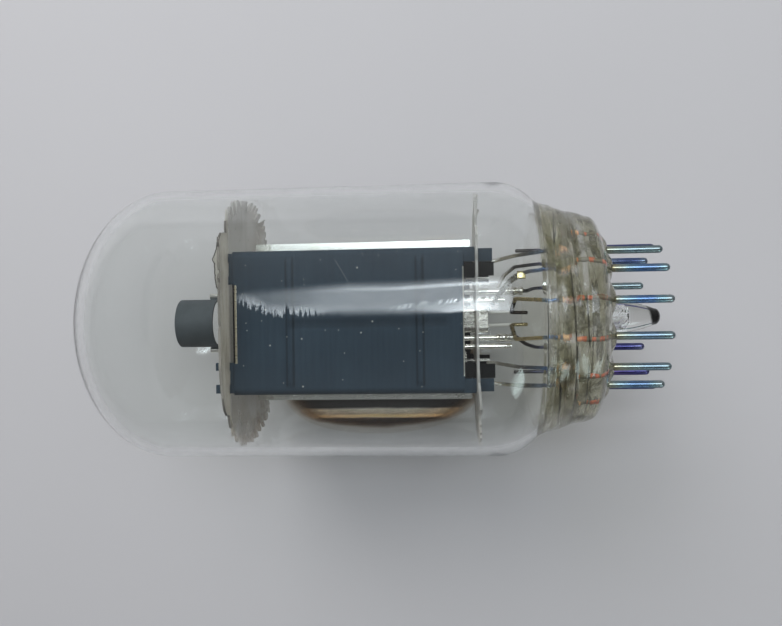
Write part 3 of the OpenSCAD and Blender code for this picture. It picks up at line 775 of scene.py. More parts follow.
def pins():
    prof = [(0.0, -0.75), (0.33, -0.75), (0.34, -0.06), (0.5, 0.0), (0.508, 0.06)]
    prof += [(0.508, x) for x in np.linspace(0.5, 6.55, 14)]
    prof += [(0.508 * math.cos(a), 6.75 + 0.55 * math.sin(a)) for a in np.linspace(0.0, PI / 2, 8)]
    prof[-1] = (0.0, 7.3)
    tint = [0.2, -0.1, 0.25, 0.40, 0.10, 0.25, 0.43, 0.2, 0.45, 0.3, 0.1, 0.0]
    violet = {0: 0.9, 1: 1.0, 2: 0.85, 9: 0.75, 10: 0.55, 11: 0.2}
    steel = {8: 0.92, 11: 0.9, 4: 0.75, 5: 0.6, 10: 0.1, 3: 0.3, 7: 0.25, 6: 0.1}
    b = Build()
    for i in range(12):
        y, z = pin_at(i)
        v, f = lathe(prof, 28)
        b.add([(p[0], p[1] + y, p[2] + z) for p in v], f, 0, tint=tint[i], violet=violet.get(i, 0.0), steel=steel.get(i, 0.0))
    b.make("pins", PIN, angle=50, replaces=("base_pins",), slot="pin_metal")


pins()


def seals():
    """Copper-clad seal wires, slightly uneven as drawn through the glass; 'red' marks where the copper shows."""
    shows = {6: ((-6.3, -5.05), (-4.95, -4.45), (-4.0, -2.9), (-2.8, -2.62)), 5: ((-6.9, -4.4), (-3.8, -3.0), (-2.4, -2.1)),
             7: ((-5.6, -4.7), (-3.75, -2.85)), 8: ((-5.6, -4.6), (-4.0, -3.4)), 4: ((-6.1, -5.25), (-5.1, -4.7), (-3.3, -2.6)), 3: ((-5.5, -5.0), (-2.95, -2.3))}
    b = Build()
    for i in range(12):
        y, z = pin_at(i)
        xs = np.linspace(-7.2, -0.8, 90)
        prof = [(0.0, -7.2)] + [(0.28 + 0.02 * math.sin(3.1 * x + 1.7 * i), x) for x in xs] + [(0.0, -0.8)]
        v, f = lathe(prof, 20)
        red = [max([0.0] + [ease((p[0] - lo) / 0.12) * ease((hi - p[0]) / 0.12) for lo, hi in shows.get(i, ())]) for p in v]
        b.add([(p[0], p[1] + y, p[2] + z) for p in v], f, 0, red=red)
    b.make("seals", COPPER, angle=50, replaces=("seal_wires",), slot="seal_copper")


seals()


def leads(name, paths, mat, node, slot, r=0.25, weld=None):
    b = Build()
    for p in paths:
        b.add(*wire(p, r))
    b.make(name, mat, angle=60, replaces=(node,), slot=slot)


leads("anode_lead_wires", [
    [pin3(8, -7.2), pin3(8, -8.7), (-12.2, 8.15, 6.3), (-14.3, 7.5, 8.9), (-15.9, 7.1, 9.32)],
    [pin3(3, -7.2), pin3(3, -8.7), (-12.4, -8.5, 6.5), (-14.3, -8.1, 8.9), (-15.9, -7.9, 9.32)]], LEAD, "anode_leads", "lead_wire")
leads("screen_lead_wires", [
    [pin3(11, -7.2), pin3(11, -8.6), (-9.4, 4.1, -5.2), (-10.2, 3.8, -0.7), (-10.5, 3.8, 0), (-11.4, 3.8, 0)],
    [pin3(10, -7.2), pin3(10, -8.6), (-11.2, 7.4, -4.2), (-12.6, 6.2, -2.9), (-13.8, 4.3, -0.5)]], DARK_LEAD, "screen_grid_leads", "dark_lead")
leads("control_lead_wire", [
    [pin3(0, -7.2), pin3(0, -8.6), (-10.0, -3.7, -5.2), (-11.4, -2.6, -0.6), (-12, -2.6, 0), (-12.9, -2.6, 0)]], DARK_LEAD, "control_grid_lead", "dark_lead")
leads("heater_lead_wires", [
    [pin3(6 if s > 0 else 5, -7.2), pin3(6 if s > 0 else 5, -8.5), (-12.15, s * 2.62, 6.3), (-12.15, s * 0.85, 0.62), (-10.2, s * 0.8, 0.5)]
    for s in (-1, 1)], GOLD_LEAD, "heater_leads", "gold_lead")
leads("cathode_lead_wire", [[pin3(7, -7.2), pin3(7, -8.6), (-10.6, 6.1, 6.4), (-12.2, 5.6, 5.6)]], LEAD, "cathode_lead", "lead_wire")
leads("beam_lead_wire", [[pin3(4, -7.2), pin3(4, -8.6), (-11.6, -6.35, 4.6), (-14.0, -6.1, 0.5), (-15.9, -6.02, 0)]],
      LEAD, "beam_plate_lead", "lead_wire")
leads("spare_stubs", [[pin3(i, -7.2), pin3(i, -9), pin3(i, -11.4)] for i in (1, 2, 9)], DARK_LEAD, "spare_leads", "dark_lead")


def sleeves():
    """Crimped joining sleeves: a thin tube squeezed at two places."""
    b = Build()
    for y, x0, x1, ro, ri in ((3.8, -12.9, -10.7, 0.6, 0.44), (-2.6, -14.2, -11.9, 0.58, 0.42)):
        xs = np.linspace(x0, x1, 22)

        def squeeze(x):
            t = (x - x0) / (x1 - x0)
            return 1 - 0.13 * math.exp(-((t - 0.3) / 0.09) ** 2) - 0.13 * math.exp(-((t - 0.7) / 0.09) ** 2)

        prof = [(ri, x1), (ri, x0)] + [(ro * (0.96 if k in (0, 21) else squeeze(x)), x) for k, x in enumerate(xs)] + [(ri, x1)]
        v, f = lathe(prof, 24)
        b.add([(p[0], p[1] + y, p[2]) for p in v], f)
    ob = b.make("crimp_sleeves", NICKEL, angle=40, replaces=("lead_sleeves",), slot="nickel")
    bm = bmesh.new()
    bm.from_mesh(ob.data)
    bmesh.ops.remove_doubles(bm, verts=bm.verts[:], dist=1e-7)
    bmesh.ops.recalc_face_normals(bm, faces=bm.faces[:])
    bm.to_mesh(ob.data)
    bm.free()


sleeves()


def cathode_ribbon():
    """Thin strip from the cathode up to its lead, ending in a flat weld tab."""
    path = spline([(-16.6, 1, 0.9), (-15.6, 1.4, 1.1), (-13.6, 3.6, 3.4), (-12.6, 4.95, 5.2), (-11.9, 5.5, 6.2)], 8)
    h = [(-0.34, -0.06), (0.34, -0.06), (0.36, 0.0), (0.34, 0.06), (-0.34, 0.06), (-0.36, 0.0)]
    b = Build()
    b.add(*sweep(path, h))
    v, f = slab(-0.48, 0.48, -0.52, 0.52, -0.05, 0.05, 0.03)
    c, t = math.cos(-0.149), math.sin(-0.149)
    b.add([(-11.42 + p[0], 5.68 + p[1] * c - p[2] * t, 6.34 + p[1] * t + p[2] * c) for p in v], f, 1)
    b.make("cathode_ribbon", [NICKEL, WELD], angle=40, replaces=("cathode_tab",), slot="nickel")


cathode_ribbon()

# ---------------------------------------------------------------- micas


def inside(p, loop):
    hit = False
    for (ya, za), (yb, zb) in zip(loop, loop[1:] + loop[:1]):
        if (za > p[1]) != (zb > p[1]) and p[0] < (yb - ya) * (p[1] - za) / (zb - za) + ya:
            hit = not hit
    return hit


def flat_sheet(outline, holes, thick, bend):
    """Meshes an outline with holes, dense enough to bend, and gives it thickness. Returns verts (t, y, z) and faces."""
    loops = [outline] + holes
    pts, edges = [], []
    for loop in loops:
        o, n = len(pts), len(loop)
        pts += [Vector(p) for p in loop]
        edges += [(o + i, o + (i + 1) % n) for i in range(n)]
    rim = np.array([tuple(p) for p in pts])
    for i in range(-19, 20):
        for j in range(-19, 20):
            p = (0.92 * i + (0.46 if j % 2 else 0.0), 0.8 * j)
            if inside(p, outline) and not any(inside(p, h) for h in holes) and np.min(np.hypot(rim[:, 0] - p[0], rim[:, 1] - p[1])) > 0.4:
                pts.append(Vector(p))
    co, _, tris, *_ = delaunay_2d_cdt(pts, edges, [], 0, 1e-5)
    keep = []
    for t in tris:
        c = (sum(co[i][0] for i in t) / 3, sum(co[i][1] for i in t) / 3)
        if inside(c, outline) and not any(inside(c, h) for h in holes):
            keep.append(list(t))
    used = sorted({i for t in keep for i in t})
    remap = {q: k for k, q in enumerate(used)}
    n = len(used)
    verts = [(bend(*co[q]) + side * thick / 2, co[q][0], co[q][1]) for side in (-1, 1) for q in used]
    faces, count = [], {}
    for t in keep:
        t = [remap[i] for i in t]
        faces += [t, [i + n for i in t[::-1]]]
        for k in range(3):
            e = (t[k], t[(k + 1) % 3])
            count[e] = count.get(e, 0) + 1
    for a_, b_ in [e for e in count if (e[1], e[0]) not in count]:
        faces.append([b_, a_, a_ + n, b_ + n])
    return verts, faces


def circle(y, z, r, n=20):
    return [(y + r * math.cos(2 * PI * k / n), z + r * math.sin(2 * PI * k / n)) for k in range(n)]


def rect(y, z, w, h):
    return [(y - w / 2, z - h / 2), (y + w / 2, z - h / 2), (y + w / 2, z + h / 2), (y - w / 2, z + h / 2)]


def stadium(w, h, n=10):
    out = []
    for s in (1, -1):
        out += [(s * ((w - h) / 2 + h / 2 * math.sin(PI * k / n)), -s * h / 2 * math.cos(PI * k / n)) for k in range(n + 1)]
    return out


def mica_outline(seed, r_max):
    """Disc cut flat at two sides, stepped at the corners, with torn, uneven teeth that grip the bulb at both ends."""
    rnd = random.Random(seed)
    pts = []
    for s in (1, -1):
        # one toothed end, from one corner step to the other
        a, end = -38.0, 35.0
        pts.append((s * 13.0, -s * 10.9))
        while a < end - 2:
            width = rnd.uniform(4.2, 9.0)
            tip = r_max - rnd.choice((0.0, 0.0, 0.05, 0.1, 0.3))
            low = r_max - rnd.uniform(0.7, 1.9)
            q1 = rnd.uniform(0.12, 0.25)
            q2 = rnd.uniform(0.62, 0.82)
            for q, rr in ((0.0, low), (q1 * 0.6, low + rnd.uniform(0.1, 0.4)), (q1, tip - rnd.uniform(0.0, 0.25)), ((q1 + q2) / 2, tip),
                          (q2, tip - rnd.uniform(0.0, 0.35)), (q2 + 0.07, low + rnd.uniform(0.1, 0.5)), (0.93, low)):
                b = math.radians(min(a + q * width, end))
                pts.append((s * rr * math.cos(b), s * rr * math.sin(b)))
            a += width
        # the corner step, then the straight side
        pts.append((s * 14.3, s * 9.95))
        pts.append((s * 13.2, s * (10.1 + rnd.uniform(-0.1, 0.1))))
        for y in np.linspace(12.9, 11.5, 4):
            pts.append((s * y, s * (10.5 + rnd.uniform(-0.12, 0.12))))
        pts.append((s * 11.35, s * 11.6))
        pts.append((s * (11.25 + rnd.uniform(-0.05, 0.05)), s * 12.6))
        pts.append((s * 10.5, s * 13.5))
        for y in np.arange(10.0, -10.3, -0.6):
            pts.append((s * (y + rnd.uniform(-0.15, 0.15)), s * (13.95 - rnd.uniform(0.0, 0.16) - (rnd.uniform(0.15, 0.4) if rnd.random() < 0.16 else 0))))
        pts.append((-s * 10.6, s * 13.6))
        pts.append((-s * 11.3, s * 12.5))
        pts.append((-s * 11.35, s * 11.6))
        for y in np.linspace(11.5, 12.7, 4):
            pts.append((-s * y, s * (11.0 + rnd.uniform(-0.08, 0.08))))
    return pts


def flake(line, root, z, rim):
    """A split-off flake lying flat at height z, from x = root out to the torn line [(x, y)], with a burnt rim."""
    n = len(line)
    rows = [[(x, y) for x, y in line], [(min(x + rim, root - 0.01), y) for x, y in line], [(root, y) for _, y in line]]
    verts = [(x, y, z + side * 0.03) for side in (1, -1) for row in rows for x, y in row]
    faces, mats = [], []
    for i in range(n - 1):
        for k in (0, 1):
            a, o = k * n + i, 3 * n
            faces += [[a, a + 1, a + n + 1, a + n], [o + a, o + a + n, o + a + n + 1, o + a + 1]]
            mats += [1 - k, 1 - k]
        faces += [[i, 3 * n + i, 3 * n + i + 1, i + 1], [2 * n + i, 2 * n + i + 1, 5 * n + i + 1, 5 * n + i]]
        mats += [1, 0]
    for i in (0, n - 1):
        for k in (0, 1):
            a = k * n + i
            faces.append([a, a + n, 3 * n + a + n, 3 * n + a])
            mats.append(1 - k)
    return verts, faces, mats


def mica_sheet(name, node, x, seed, prongs, mat, slot, bent_by, extra=(), flakes=(), shaded_edge=False):
    holes = [stadium(3.9, 1.6)]
    for s in (-1, 1):
        holes += [circle(s * 2.6, 0, 0.43), circle(s * 3.8, 0, 0.45), rect(s * 5.625, 0, 0.35, 1.9)]
        for sz in (-1, 1):
            for y, w in prongs:
                holes.append(rect(s * y, sz * 9.8, w + 0.1, 0.5))

    def bend(y, z):
        """The teeth lean towards the base where the bulb wall pushed them when the mount went in."""
        r = math.hypot(y, z)
        lean = (ease((3.2 - z) / 2.6) * (1 - 0.75 * ease((-6.0 - z) / 5.0)) + 0.7 * math.exp(-((z + 6.2) / 0.55) ** 2)) if y > 0 else 0.55
        return bent_by * lean * max(0.0, (r - 14.9) / 2.4) ** 1.2

    v, f = flat_sheet(mica_outline(seed, 17.28), holes + list(extra), 0.3, bend)
    b = Build()
    # painted shade on the upper cut edge: darkest at the corners, lighter between them
    edge = [shaded_edge and len(q) == 4 and sum(v[i][2] for i in q) / 4 > 10.3 for q in f]
    b.add([(x + t, y, z) for t, y, z in v], f, [0 if not e else 2 if abs(v[q[0]][1]) > 9.3 else 3 for q, e in zip(f, edge)])
    for line, z in flakes:
        b.add(*flake(line, x, z, 0.13))
    return b.make(name, [mat, RIM, MICA_EDGE_SHADE, MICA_EDGE_HALF_SHADE], smooth=True, angle=30, replaces=(node,), slot=slot)


TORN = [(-49.47, 10.6), (-49.5, 10.1), (-49.62, 9.2), (-49.8, 8.7), (-49.97, 8.3), (-50.16, 7.95), (-50.1, 7.75), (-49.9, 7.45), (-49.93, 7.1), (-49.86, 6.7),
        (-49.9, 6.35), (-49.83, 6.0), (-49.86, 5.6), (-49.78, 5.2), (-49.7, 4.6), (-49.6, 4.35), (-49.46, 4.2)]
mica_sheet("upper_mica_sheet", "upper_mica", -49.3, 7, [(5.5, 1), (8.35, 1.1)], BROWN_MICA, "brown_mica", 0.85, (),
           [(TORN, 13.62)], True)
GA = math.radians(240)
mica_sheet("lower_mica_sheet", "lower_mica", -17.3, 21, [(7.2, 3.4)], CLEAR_MICA, "clear_mica", 0.5,
           [circle(14 * math.cos(GA), 14 * math.sin(GA), 0.3)])

# ---------------------------------------------------------------- anode


def anode_half(name, node, x0, x1, fl, z0, sign):
    """One pressed half of the anode box: matte outside, blackened inside except the flange's inner face, which is bare
    nickel, cut edges bright.
    """
    w, h, r, s = 9.2, 10.0, 0.9, 0.4
    chain = []  # (outer y, outer z, inner y, inner z, on face)

    def half():
        c = [(fl, z0 + s, fl, z0, 0), (fl - 0.2, z0 + s, fl - 0.2, z0, 0), (w + 0.22, z0 + s, w + 0.1, z0, 0),
             (w + 0.07, z0 + s + 0.06, w - 0.15, z0 + 0.02, 0), (w, z0 + s + 0.2, w - s, z0 + 0.2, 0)]
        c += [(w, z, w - s, z, 0) for z in np.linspace(z0 + s + 0.6, h - r, 12)]
        c += [(w - r + r * math.cos(a), h - r + r * math.sin(a), w - r + (r - s) * math.cos(a), h - r + (r - s) * math.sin(a), 0)
              for a in np.linspace(0, PI / 2, 9)[1:]]
        return c

    chain = half()
    ys = [y for y in np.linspace(w - r, -(w - r), 64)][1:-1]
    chain += [(y, h, y, h - s, 1) for y in ys]
    chain += [(-a, b, -c, d, e) for a, b, c, d, e in half()[::-1]]
    xs = sorted(set([x0, x1] + list(np.linspace(x0, x0 + 1.0, 8)) + list(np.linspace(x0 + 1.0, x1 - 0.4, 88)) + [x1 - 0.3, x1 - 0.16, x1 - 0.08]
                    + [q + d for q in (-41.2, -24.5) for d in np.linspace(-1.0, 1.0, 15)]))
    xs = [x for x in xs if x0 <= x <= x1]

    def lift(x, y):
        d = sum(0.25 * math.exp(-((x - q) / 0.42) ** 2) for q in (-41.2, -24.5)) * ease((8.25 - abs(y)) / 0.7)
        d -= 0.10 * math.exp(-((y + 0.2) / 0.55) ** 2) * ease((x + 41.6) / 1.2) * ease((-20.2 - x) / 1.2)
        if abs(y) < 5.2:
            d -= 0.26 * ease((x0 + 0.5 - x) / 0.5) ** 2 * ease((5.2 - abs(y)) / 0.4)
        if abs(y) < 7.1:
            d -= 0.13 * ease((x - x1 + 0.16) / 0.16) * ease((7.1 - abs(y)) / 0.3)
        return d

    verts, faces, mats = [], [], []
    m, n = len(chain), len(xs)
    for side in (0, 1):
        for x in xs:
            for oy, oz, iy, iz, on in chain:
                y, z = (oy, oz) if side == 0 else (iy, iz)
                if oz > h - 1e-6:
                    z += lift(x, y)
                verts.append((x, y, sign * z))

    def at(side, i, k):
        return side * n * m + i * m + k

    for i in range(n - 1):
        xm = (xs[i] + xs[i + 1]) / 2
        for k in range(m - 1):
            faces.append([at(0, i, k), at(0, i + 1, k), at(0, i + 1, k + 1), at(0, i, k + 1)])
            on = chain[k][4] and abs(chain[k][0]) < 5.0
            # the curled-down strip before the lip takes the near-black: soot and painted shade
            lip, gap = on and x0 + 0.28 < xm < x0 + 0.60, on and xm < x0 + 0.28
            cut = xm > x1 - 0.16 and chain[k][4] and abs(chain[k][0]) < 6.9
            mats.append(2 if lip else 5 if gap else 4 if cut else 0)
            faces.append([at(1, i, k), at(1, i, k + 1), at(1, i + 1, k + 1), at(1, i + 1, k)])
            mats.append(1 if min(abs(chain[k][2]), abs(chain[k + 1][2])) > w - 0.2 else 3)
        for k in (0, m - 1):
            faces.append([at(0, i, k), at(1, i, k), at(1, i + 1, k), at(0, i + 1, k)])
            mats.append(2)
    for i in (0, n - 1):
        for k in range(m - 1):
            faces.append([at(0, i, k), at(0, i, k + 1), at(1, i, k + 1), at(1, i, k)])
            mats.append(2)
    b = Build()
    b.add(verts, faces, mats)
    for s2 in (-1, 1):
        def ear(xa, xb, ya, yb, mat=0, sink=0.0):
            y_lo, y_hi = sorted((s2 * ya, s2 * yb))
            z_lo, z_hi = sorted((sign * (h - s - sink), sign * (h - sink)))
            b.add(*slab(xa, xb, y_lo, y_hi, z_lo, z_hi, 0.05), mat)
        ear(-49.1, x0 + 0.1, 5.0, 8.9)
        for y, wd in ((5.5, 1.0), (8.35, 1.1)):
            ear(-50.3 if s2 > 0 else -51.0, -49.0, y - wd / 2, y + wd / 2)
        ear(x1 - 0.1, -17.5, 7.3, 9.1)
        # the lower prongs are near-black: soot, and painted shade beneath the upper prongs
        ear(x1 - 0.1, -17.5, 5.3, 7.25, 5, 0.3)
        ear(-17.6, -15.2, 7.3, 8.9)
        ear(-17.6, -15.0, 5.5, 7.25, 5)
    return b.make(name, [ANODE, FLANGE, CUT, BLACK, EDGE, SOOT_AND_SHADE], angle=38, replaces=(node,), slot="anode_grey")


anode_half("anode_front_sheet", "anode_front", -48.7, -18.9, 9.75, 0.2, 1)
anode_half("anode_rear_sheet", "anode_rear", -47.9, -17.9, 11.0, -0.2, -1)

# ---------------------------------------------------------------- radiator


def radiator():
    """Blackened strip bent to an arch, with a weld foot against each screen post."""
    a_end = PI / 2 + math.asin(0.8 / 3.36)
    angles = np.linspace(-a_end, a_end, 49)
    x0, x1, ro, ri = -58.75, -53.4, 3.36, 3.06
    e = 0.07
    loop = [(x0, ri + e), (x0, ro - e), (x0 + e, ro)] + [(x, ro) for x in np.linspace(x0 + 0.4, x1 - 0.4, 7)] + \
           [(x1 - e, ro), (x1, ro - e), (x1, ri + e), (x1 - e, ri)] + [(x, ri) for x in np.linspace(x1 - 0.4, x0 + 0.4, 7)] + [(x0 + e, ri)]
    verts, faces = [], []
    n = len(loop)
    for a in angles:
        for x, r in loop:
            verts.append((x, r * math.sin(a), r * math.cos(a)))
    for i in range(len(angles) - 1):
        for j in range(n):
            k = (j + 1) % n
            faces.append([i * n + j, i * n + k, (i + 1) * n + k, (i + 1) * n + j])
    faces.append(list(range(n)))
    faces.append([(len(angles) - 1) * n + j for j in range(n)][::-1])
    b = Build()
    b.add(verts, faces)
    for s in (-1, 1):
        y0, y1 = sorted((s * 3.05, s * 3.5))
        b.add(*slab(-54.5, -53.5, y0, y1, -0.5, 0.5, 0.06))
    b.make("radiator_arch", FIN, angle=40, replaces=("radiator",), slot="blackened_metal")


radiator()

# ---------------------------------------------------------------- getter


def turn_x(p, a):
    x, y, z = p
    return x, y * math.cos(a) - z * math.sin(a), y * math.sin(a) + z * math.cos(a)


def getter():
    a = math.radians(240)
    # folded channel, open outwards, with eased edges
    sec = [(14.3, -1.04), (14.36, -1.1), (15.44, -1.1), (15.5, -1.04), (15.5, -0.86), (15.44, -0.8), (14.66, -0.8), (14.6, -0.74),
           (14.6, 0.74), (14.66, 0.8), (15.44, 0.8), (15.5, 0.86), (15.5, 1.04), (15.44, 1.1), (14.36, 1.1), (14.3, 1.04)]
    xs = [-38.5, -38.46] + list(np.linspace(-38.0, -27.0, 12)) + [-26.54, -26.5]
    verts, faces = [], []
    n = len(sec)
    for i, x in enumerate(xs):
        for y, z in sec:
            verts.append(turn_x((x, y, z), a))
    for i in range(len(xs) - 1):
        for j in range(n):
            k = (j + 1) % n
            faces.append([i * n + j, i * n + k, (i + 1) * n + k, (i + 1) * n + j])
    b = Build()
    b.add(verts, faces)
    m0, m1 = [], []
    # the two ends, split so that no face is hollow-cornered
    for base, store in ((0, m0), ((len(xs) - 1) * n, m1)):
        for q in ((0, 1, 2, 3, 4, 5, 6), (0, 6, 7, 8, 9, 15), (9, 10, 11, 12, 13, 14, 15)):
            store.append([base + i for i in q])
    b.f += m0 + m1
    b.m += [0] * 6
    # end walls that close the trough
    for x0, x1 in ((-38.5, -38.2), (-26.8, -26.5)):
        v, f = slab(x0, x1, 14.58, 15.46, -0.82, 0.82, 0.04)
        b.add([turn_x(p, a) for p in v], f)
    b.make("getter_trough", NICKEL, angle=40, replaces=("getter_channel",), slot="nickel")
    # spent charge: a lumpy fill
    nx, ny = 70, 14
    rnd = random.Random(5)
    waves = [(rnd.uniform(1, 5), rnd.uniform(1, 6), rnd.uniform(0, 6.28)) for _ in range(7)]
    top, low = [], []
    for i in range(nx + 1):
        for j in range(ny + 1):
            x, z = -38.18 + 11.36 * i / nx, -0.79 + 1.58 * j / ny
            edge = min(i, nx - i, 3) / 3 * min(j, ny - j, 2) / 2
            hgt = 14.9 + edge * (0.08 + 0.035 * sum(math.sin(p * x + q * z + t) for p, q, t in waves))
            top.append(turn_x((x, min(hgt, 15.1), z), a))
            low.append(turn_x((x, 14.61, z), a))
    verts = top + low
    o = len(top)
    faces = []

    def g(i, j):
        return i * (ny + 1) + j

    for i in range(nx):
        for j in range(ny):
            faces.append([g(i, j), g(i + 1, j), g(i + 1, j + 1), g(i, j + 1)])
            faces.append([o + g(i, j), o + g(i, j + 1), o + g(i + 1, j + 1), o + g(i + 1, j)])
    for i in range(nx):
        for j in (0, ny):
            faces.append([g(i, j), g(i + 1, j), o + g(i + 1, j), o + g(i, j)])
    for j in range(ny):
        for i in (0, nx):
            faces.append([g(i, j), g(i, j + 1), o + g(i, j + 1), o + g(i, j)])
    b = Build()
    b.add(verts, faces)
    b.make("getter_fill", RESIDUE, angle=60, replaces=("getter_charge",), slot="getter_residue")
    b = Build()
    b.add(*wire([turn_x(p, a) for p in ((-33.8, 14.05, 0), (-24, 14.05, 0), (-22, 14, 0), (-16.4, 14, 0))], 0.25))
    b.make("getter_stay", LEAD, angle=60, replaces=("getter_support",), slot="lead_wire")
    # mirror film: a thin skin just inside the wall, an ellipse seen square on
    nr, nt = 40, 96
    verts, rho, lean = [], [], []
    for shell, rr in ((0, 17.47), (1, 17.53)):
        for i in range(nr + 1):
            for j in range(nt):
                q, t = i / nr, 2 * PI * j / nt
                u, v = 16.3 * q * math.cos(t), 12.4 * q * math.sin(t)
                d = math.asin(v / rr)
                verts.append(turn_x((-31.8 + u, rr * math.cos(d), rr * math.sin(d)), a))
                rho.append(q)
                lean.append((60 + math.degrees(d)) / 90)
    faces = []
    o = (nr + 1) * nt

    def s(sh, i, j):
        return sh * o + i * nt + j % nt

    for i in range(nr):
        for j in range(nt):
            if i == 0:
                continue
            faces.append([s(0, i, j), s(0, i + 1, j), s(0, i + 1, j + 1), s(0, i, j + 1)])
            faces.append([s(1, i, j), s(1, i, j + 1), s(1, i + 1, j + 1), s(1, i + 1, j)])
    for sh in (0, 1):
        faces.append([s(sh, 1, j) for j in range(nt)])
    for j in range(nt):
        faces.append([s(0, nr, j), s(0, nr, j + 1), s(1, nr, j + 1), s(1, nr, j)])
    used = sorted({i for f in faces for i in f})
    remap = {q: i for i, q in enumerate(used)}
    make("getter_flash", [verts[q] for q in used], [[remap[i] for i in f] for f in faces], FILM, replaces=("getter_film",),
         slot="getter_mirror", attrs={"rho": [rho[q] for q in used], "lean": [lean[q] for q in used]})


getter()

# ---------------------------------------------------------------- CAD nodes that stay

for node, mat in (("beam_plates", NICKEL), ("cathode_sleeve", NICKEL), ("cathode_coating", WHITE), ("heater", WHITE),
                  ("control_grid_posts", POST), ("screen_grid_posts", POST), ("control_grid_winding", CUT), ("screen_grid_winding", NICKEL)):
    ob = NODES[node]
    ob.data.materials.clear()
    ob.data.materials.append(mat)

# ---------------------------------------------------------------- floor and light


def floor():
    m = Mat("floor")
    cloud = m.noise(9.0, 3.0, 0.5)
    colour = m.ramp(cloud, [(0.3, (0.555, 0.545, 0.555)), (0.7, (0.58, 0.57, 0.58))])
    mat = m.done(m.principled(Base_Color=colour, Roughness=0.7, Specular_IOR_Level=0.3))
    me = bpy.data.meshes.new("floor")
    k = 3.0
    me.from_pydata([(-k, -k, -0.0187), (k, -k, -0.0187), (k, k, -0.0187), (-k, k, -0.0187)], [], [(0, 1, 2, 3)])
    me.materials.append(mat)
    ob = bpy.data.objects.new("floor", me)
    SCENE.collection.objects.link(ob)


floor()


def area(name, at, aim, sx, sy, radiance, colour=(1, 1, 1)):
    li = bpy.data.lights.new(name, "AREA")
    li.shape = "RECTANGLE"
    li.size, li.size_y = sx, sy
    li.energy = radiance * PI * sx * sy
    li.color = colour
    ob = bpy.data.objects.new(name, li)
    SCENE.collection.objects.link(ob)
    d = (Vector(aim) - Vector(at)).normalized()
    back_ = -d
    xa = Vector((1, 0, 0))
    ya = back_.cross(xa).normalized()
    xa = ya.cross(back_).normalized()
    mw = Matrix.Identity(4)
    for row in range(3):
        mw[row][0], mw[row][1], mw[row][2] = xa[row], ya[row], back_[row]
    mw.translation = Vector(at)
    ob.matrix_world = mw
    return ob


def light_nodes(light):
    """Opens a light's node tree and returns its tree, emission node, u, v and small helpers."""
    li = light.data
    li.use_nodes = True
    nt = li.node_tree
    nt.nodes.clear()
    out_ = nt.nodes.new("ShaderNodeOutputLight")
    em = nt.nodes.new("ShaderNodeEmission")
    nt.links.new(em.outputs[0], out_.inputs[0])
    geo = nt.nodes.new("ShaderNodeNewGeometry")
    sep = nt.nodes.new("ShaderNodeSeparateXYZ")
    nt.links.new(geo.outputs["Parametric"], sep.inputs[0])

    def put(socket, x):
        if isinstance(x, bpy.types.NodeSocket):
            nt.links.new(x, socket)
        else:
            socket.default_value = x

    def mth(op, a, b_=None):
        node = nt.nodes.new("ShaderNodeMath")
        node.operation = op
        for i, x in enumerate((a, b_)):
            if x is not None:
                put(node.inputs[i], x)
        return node.outputs[0]

    def rng(x, a, b_, lo=0.0, hi=1.0):
        node = nt.nodes.new("ShaderNodeMapRange")
        node.interpolation_type = "SMOOTHSTEP"
        for i, q in enumerate((x, a, b_, lo, hi)):
            put(node.inputs[i], q)
        return node.outputs[0]

    def curve(x, *stops):
        node = nt.nodes.new("ShaderNodeValToRGB")
        put(node.inputs[0], x)
        ramp = node.color_ramp
        while len(ramp.elements) < len(stops):
            ramp.elements.new(0.5)
        for e, (pos, val) in zip(ramp.elements, stops):
            e.position = pos
            e.color = (val, val, val, 1)
        return node.outputs[0]

    def noise(su, sv, detail, along=None):
        co = nt.nodes.new("ShaderNodeCombineXYZ")
        put(co.inputs[0], mth("MULTIPLY", along or sep.outputs[0], su))
        put(co.inputs[1], mth("ADD", mth("MULTIPLY", sep.outputs[1], sv), 0.47))
        co.inputs[2].default_value = 0.53
        nz = nt.nodes.new("ShaderNodeTexNoise")
        nt.links.new(co.outputs[0], nz.inputs[0])
        nz.inputs["Scale"].default_value = 1.0
        nz.inputs["Detail"].default_value = detail
        return nz.outputs[0]

    return em, sep.outputs[0], sep.outputs[1], put, mth, rng, curve, noise


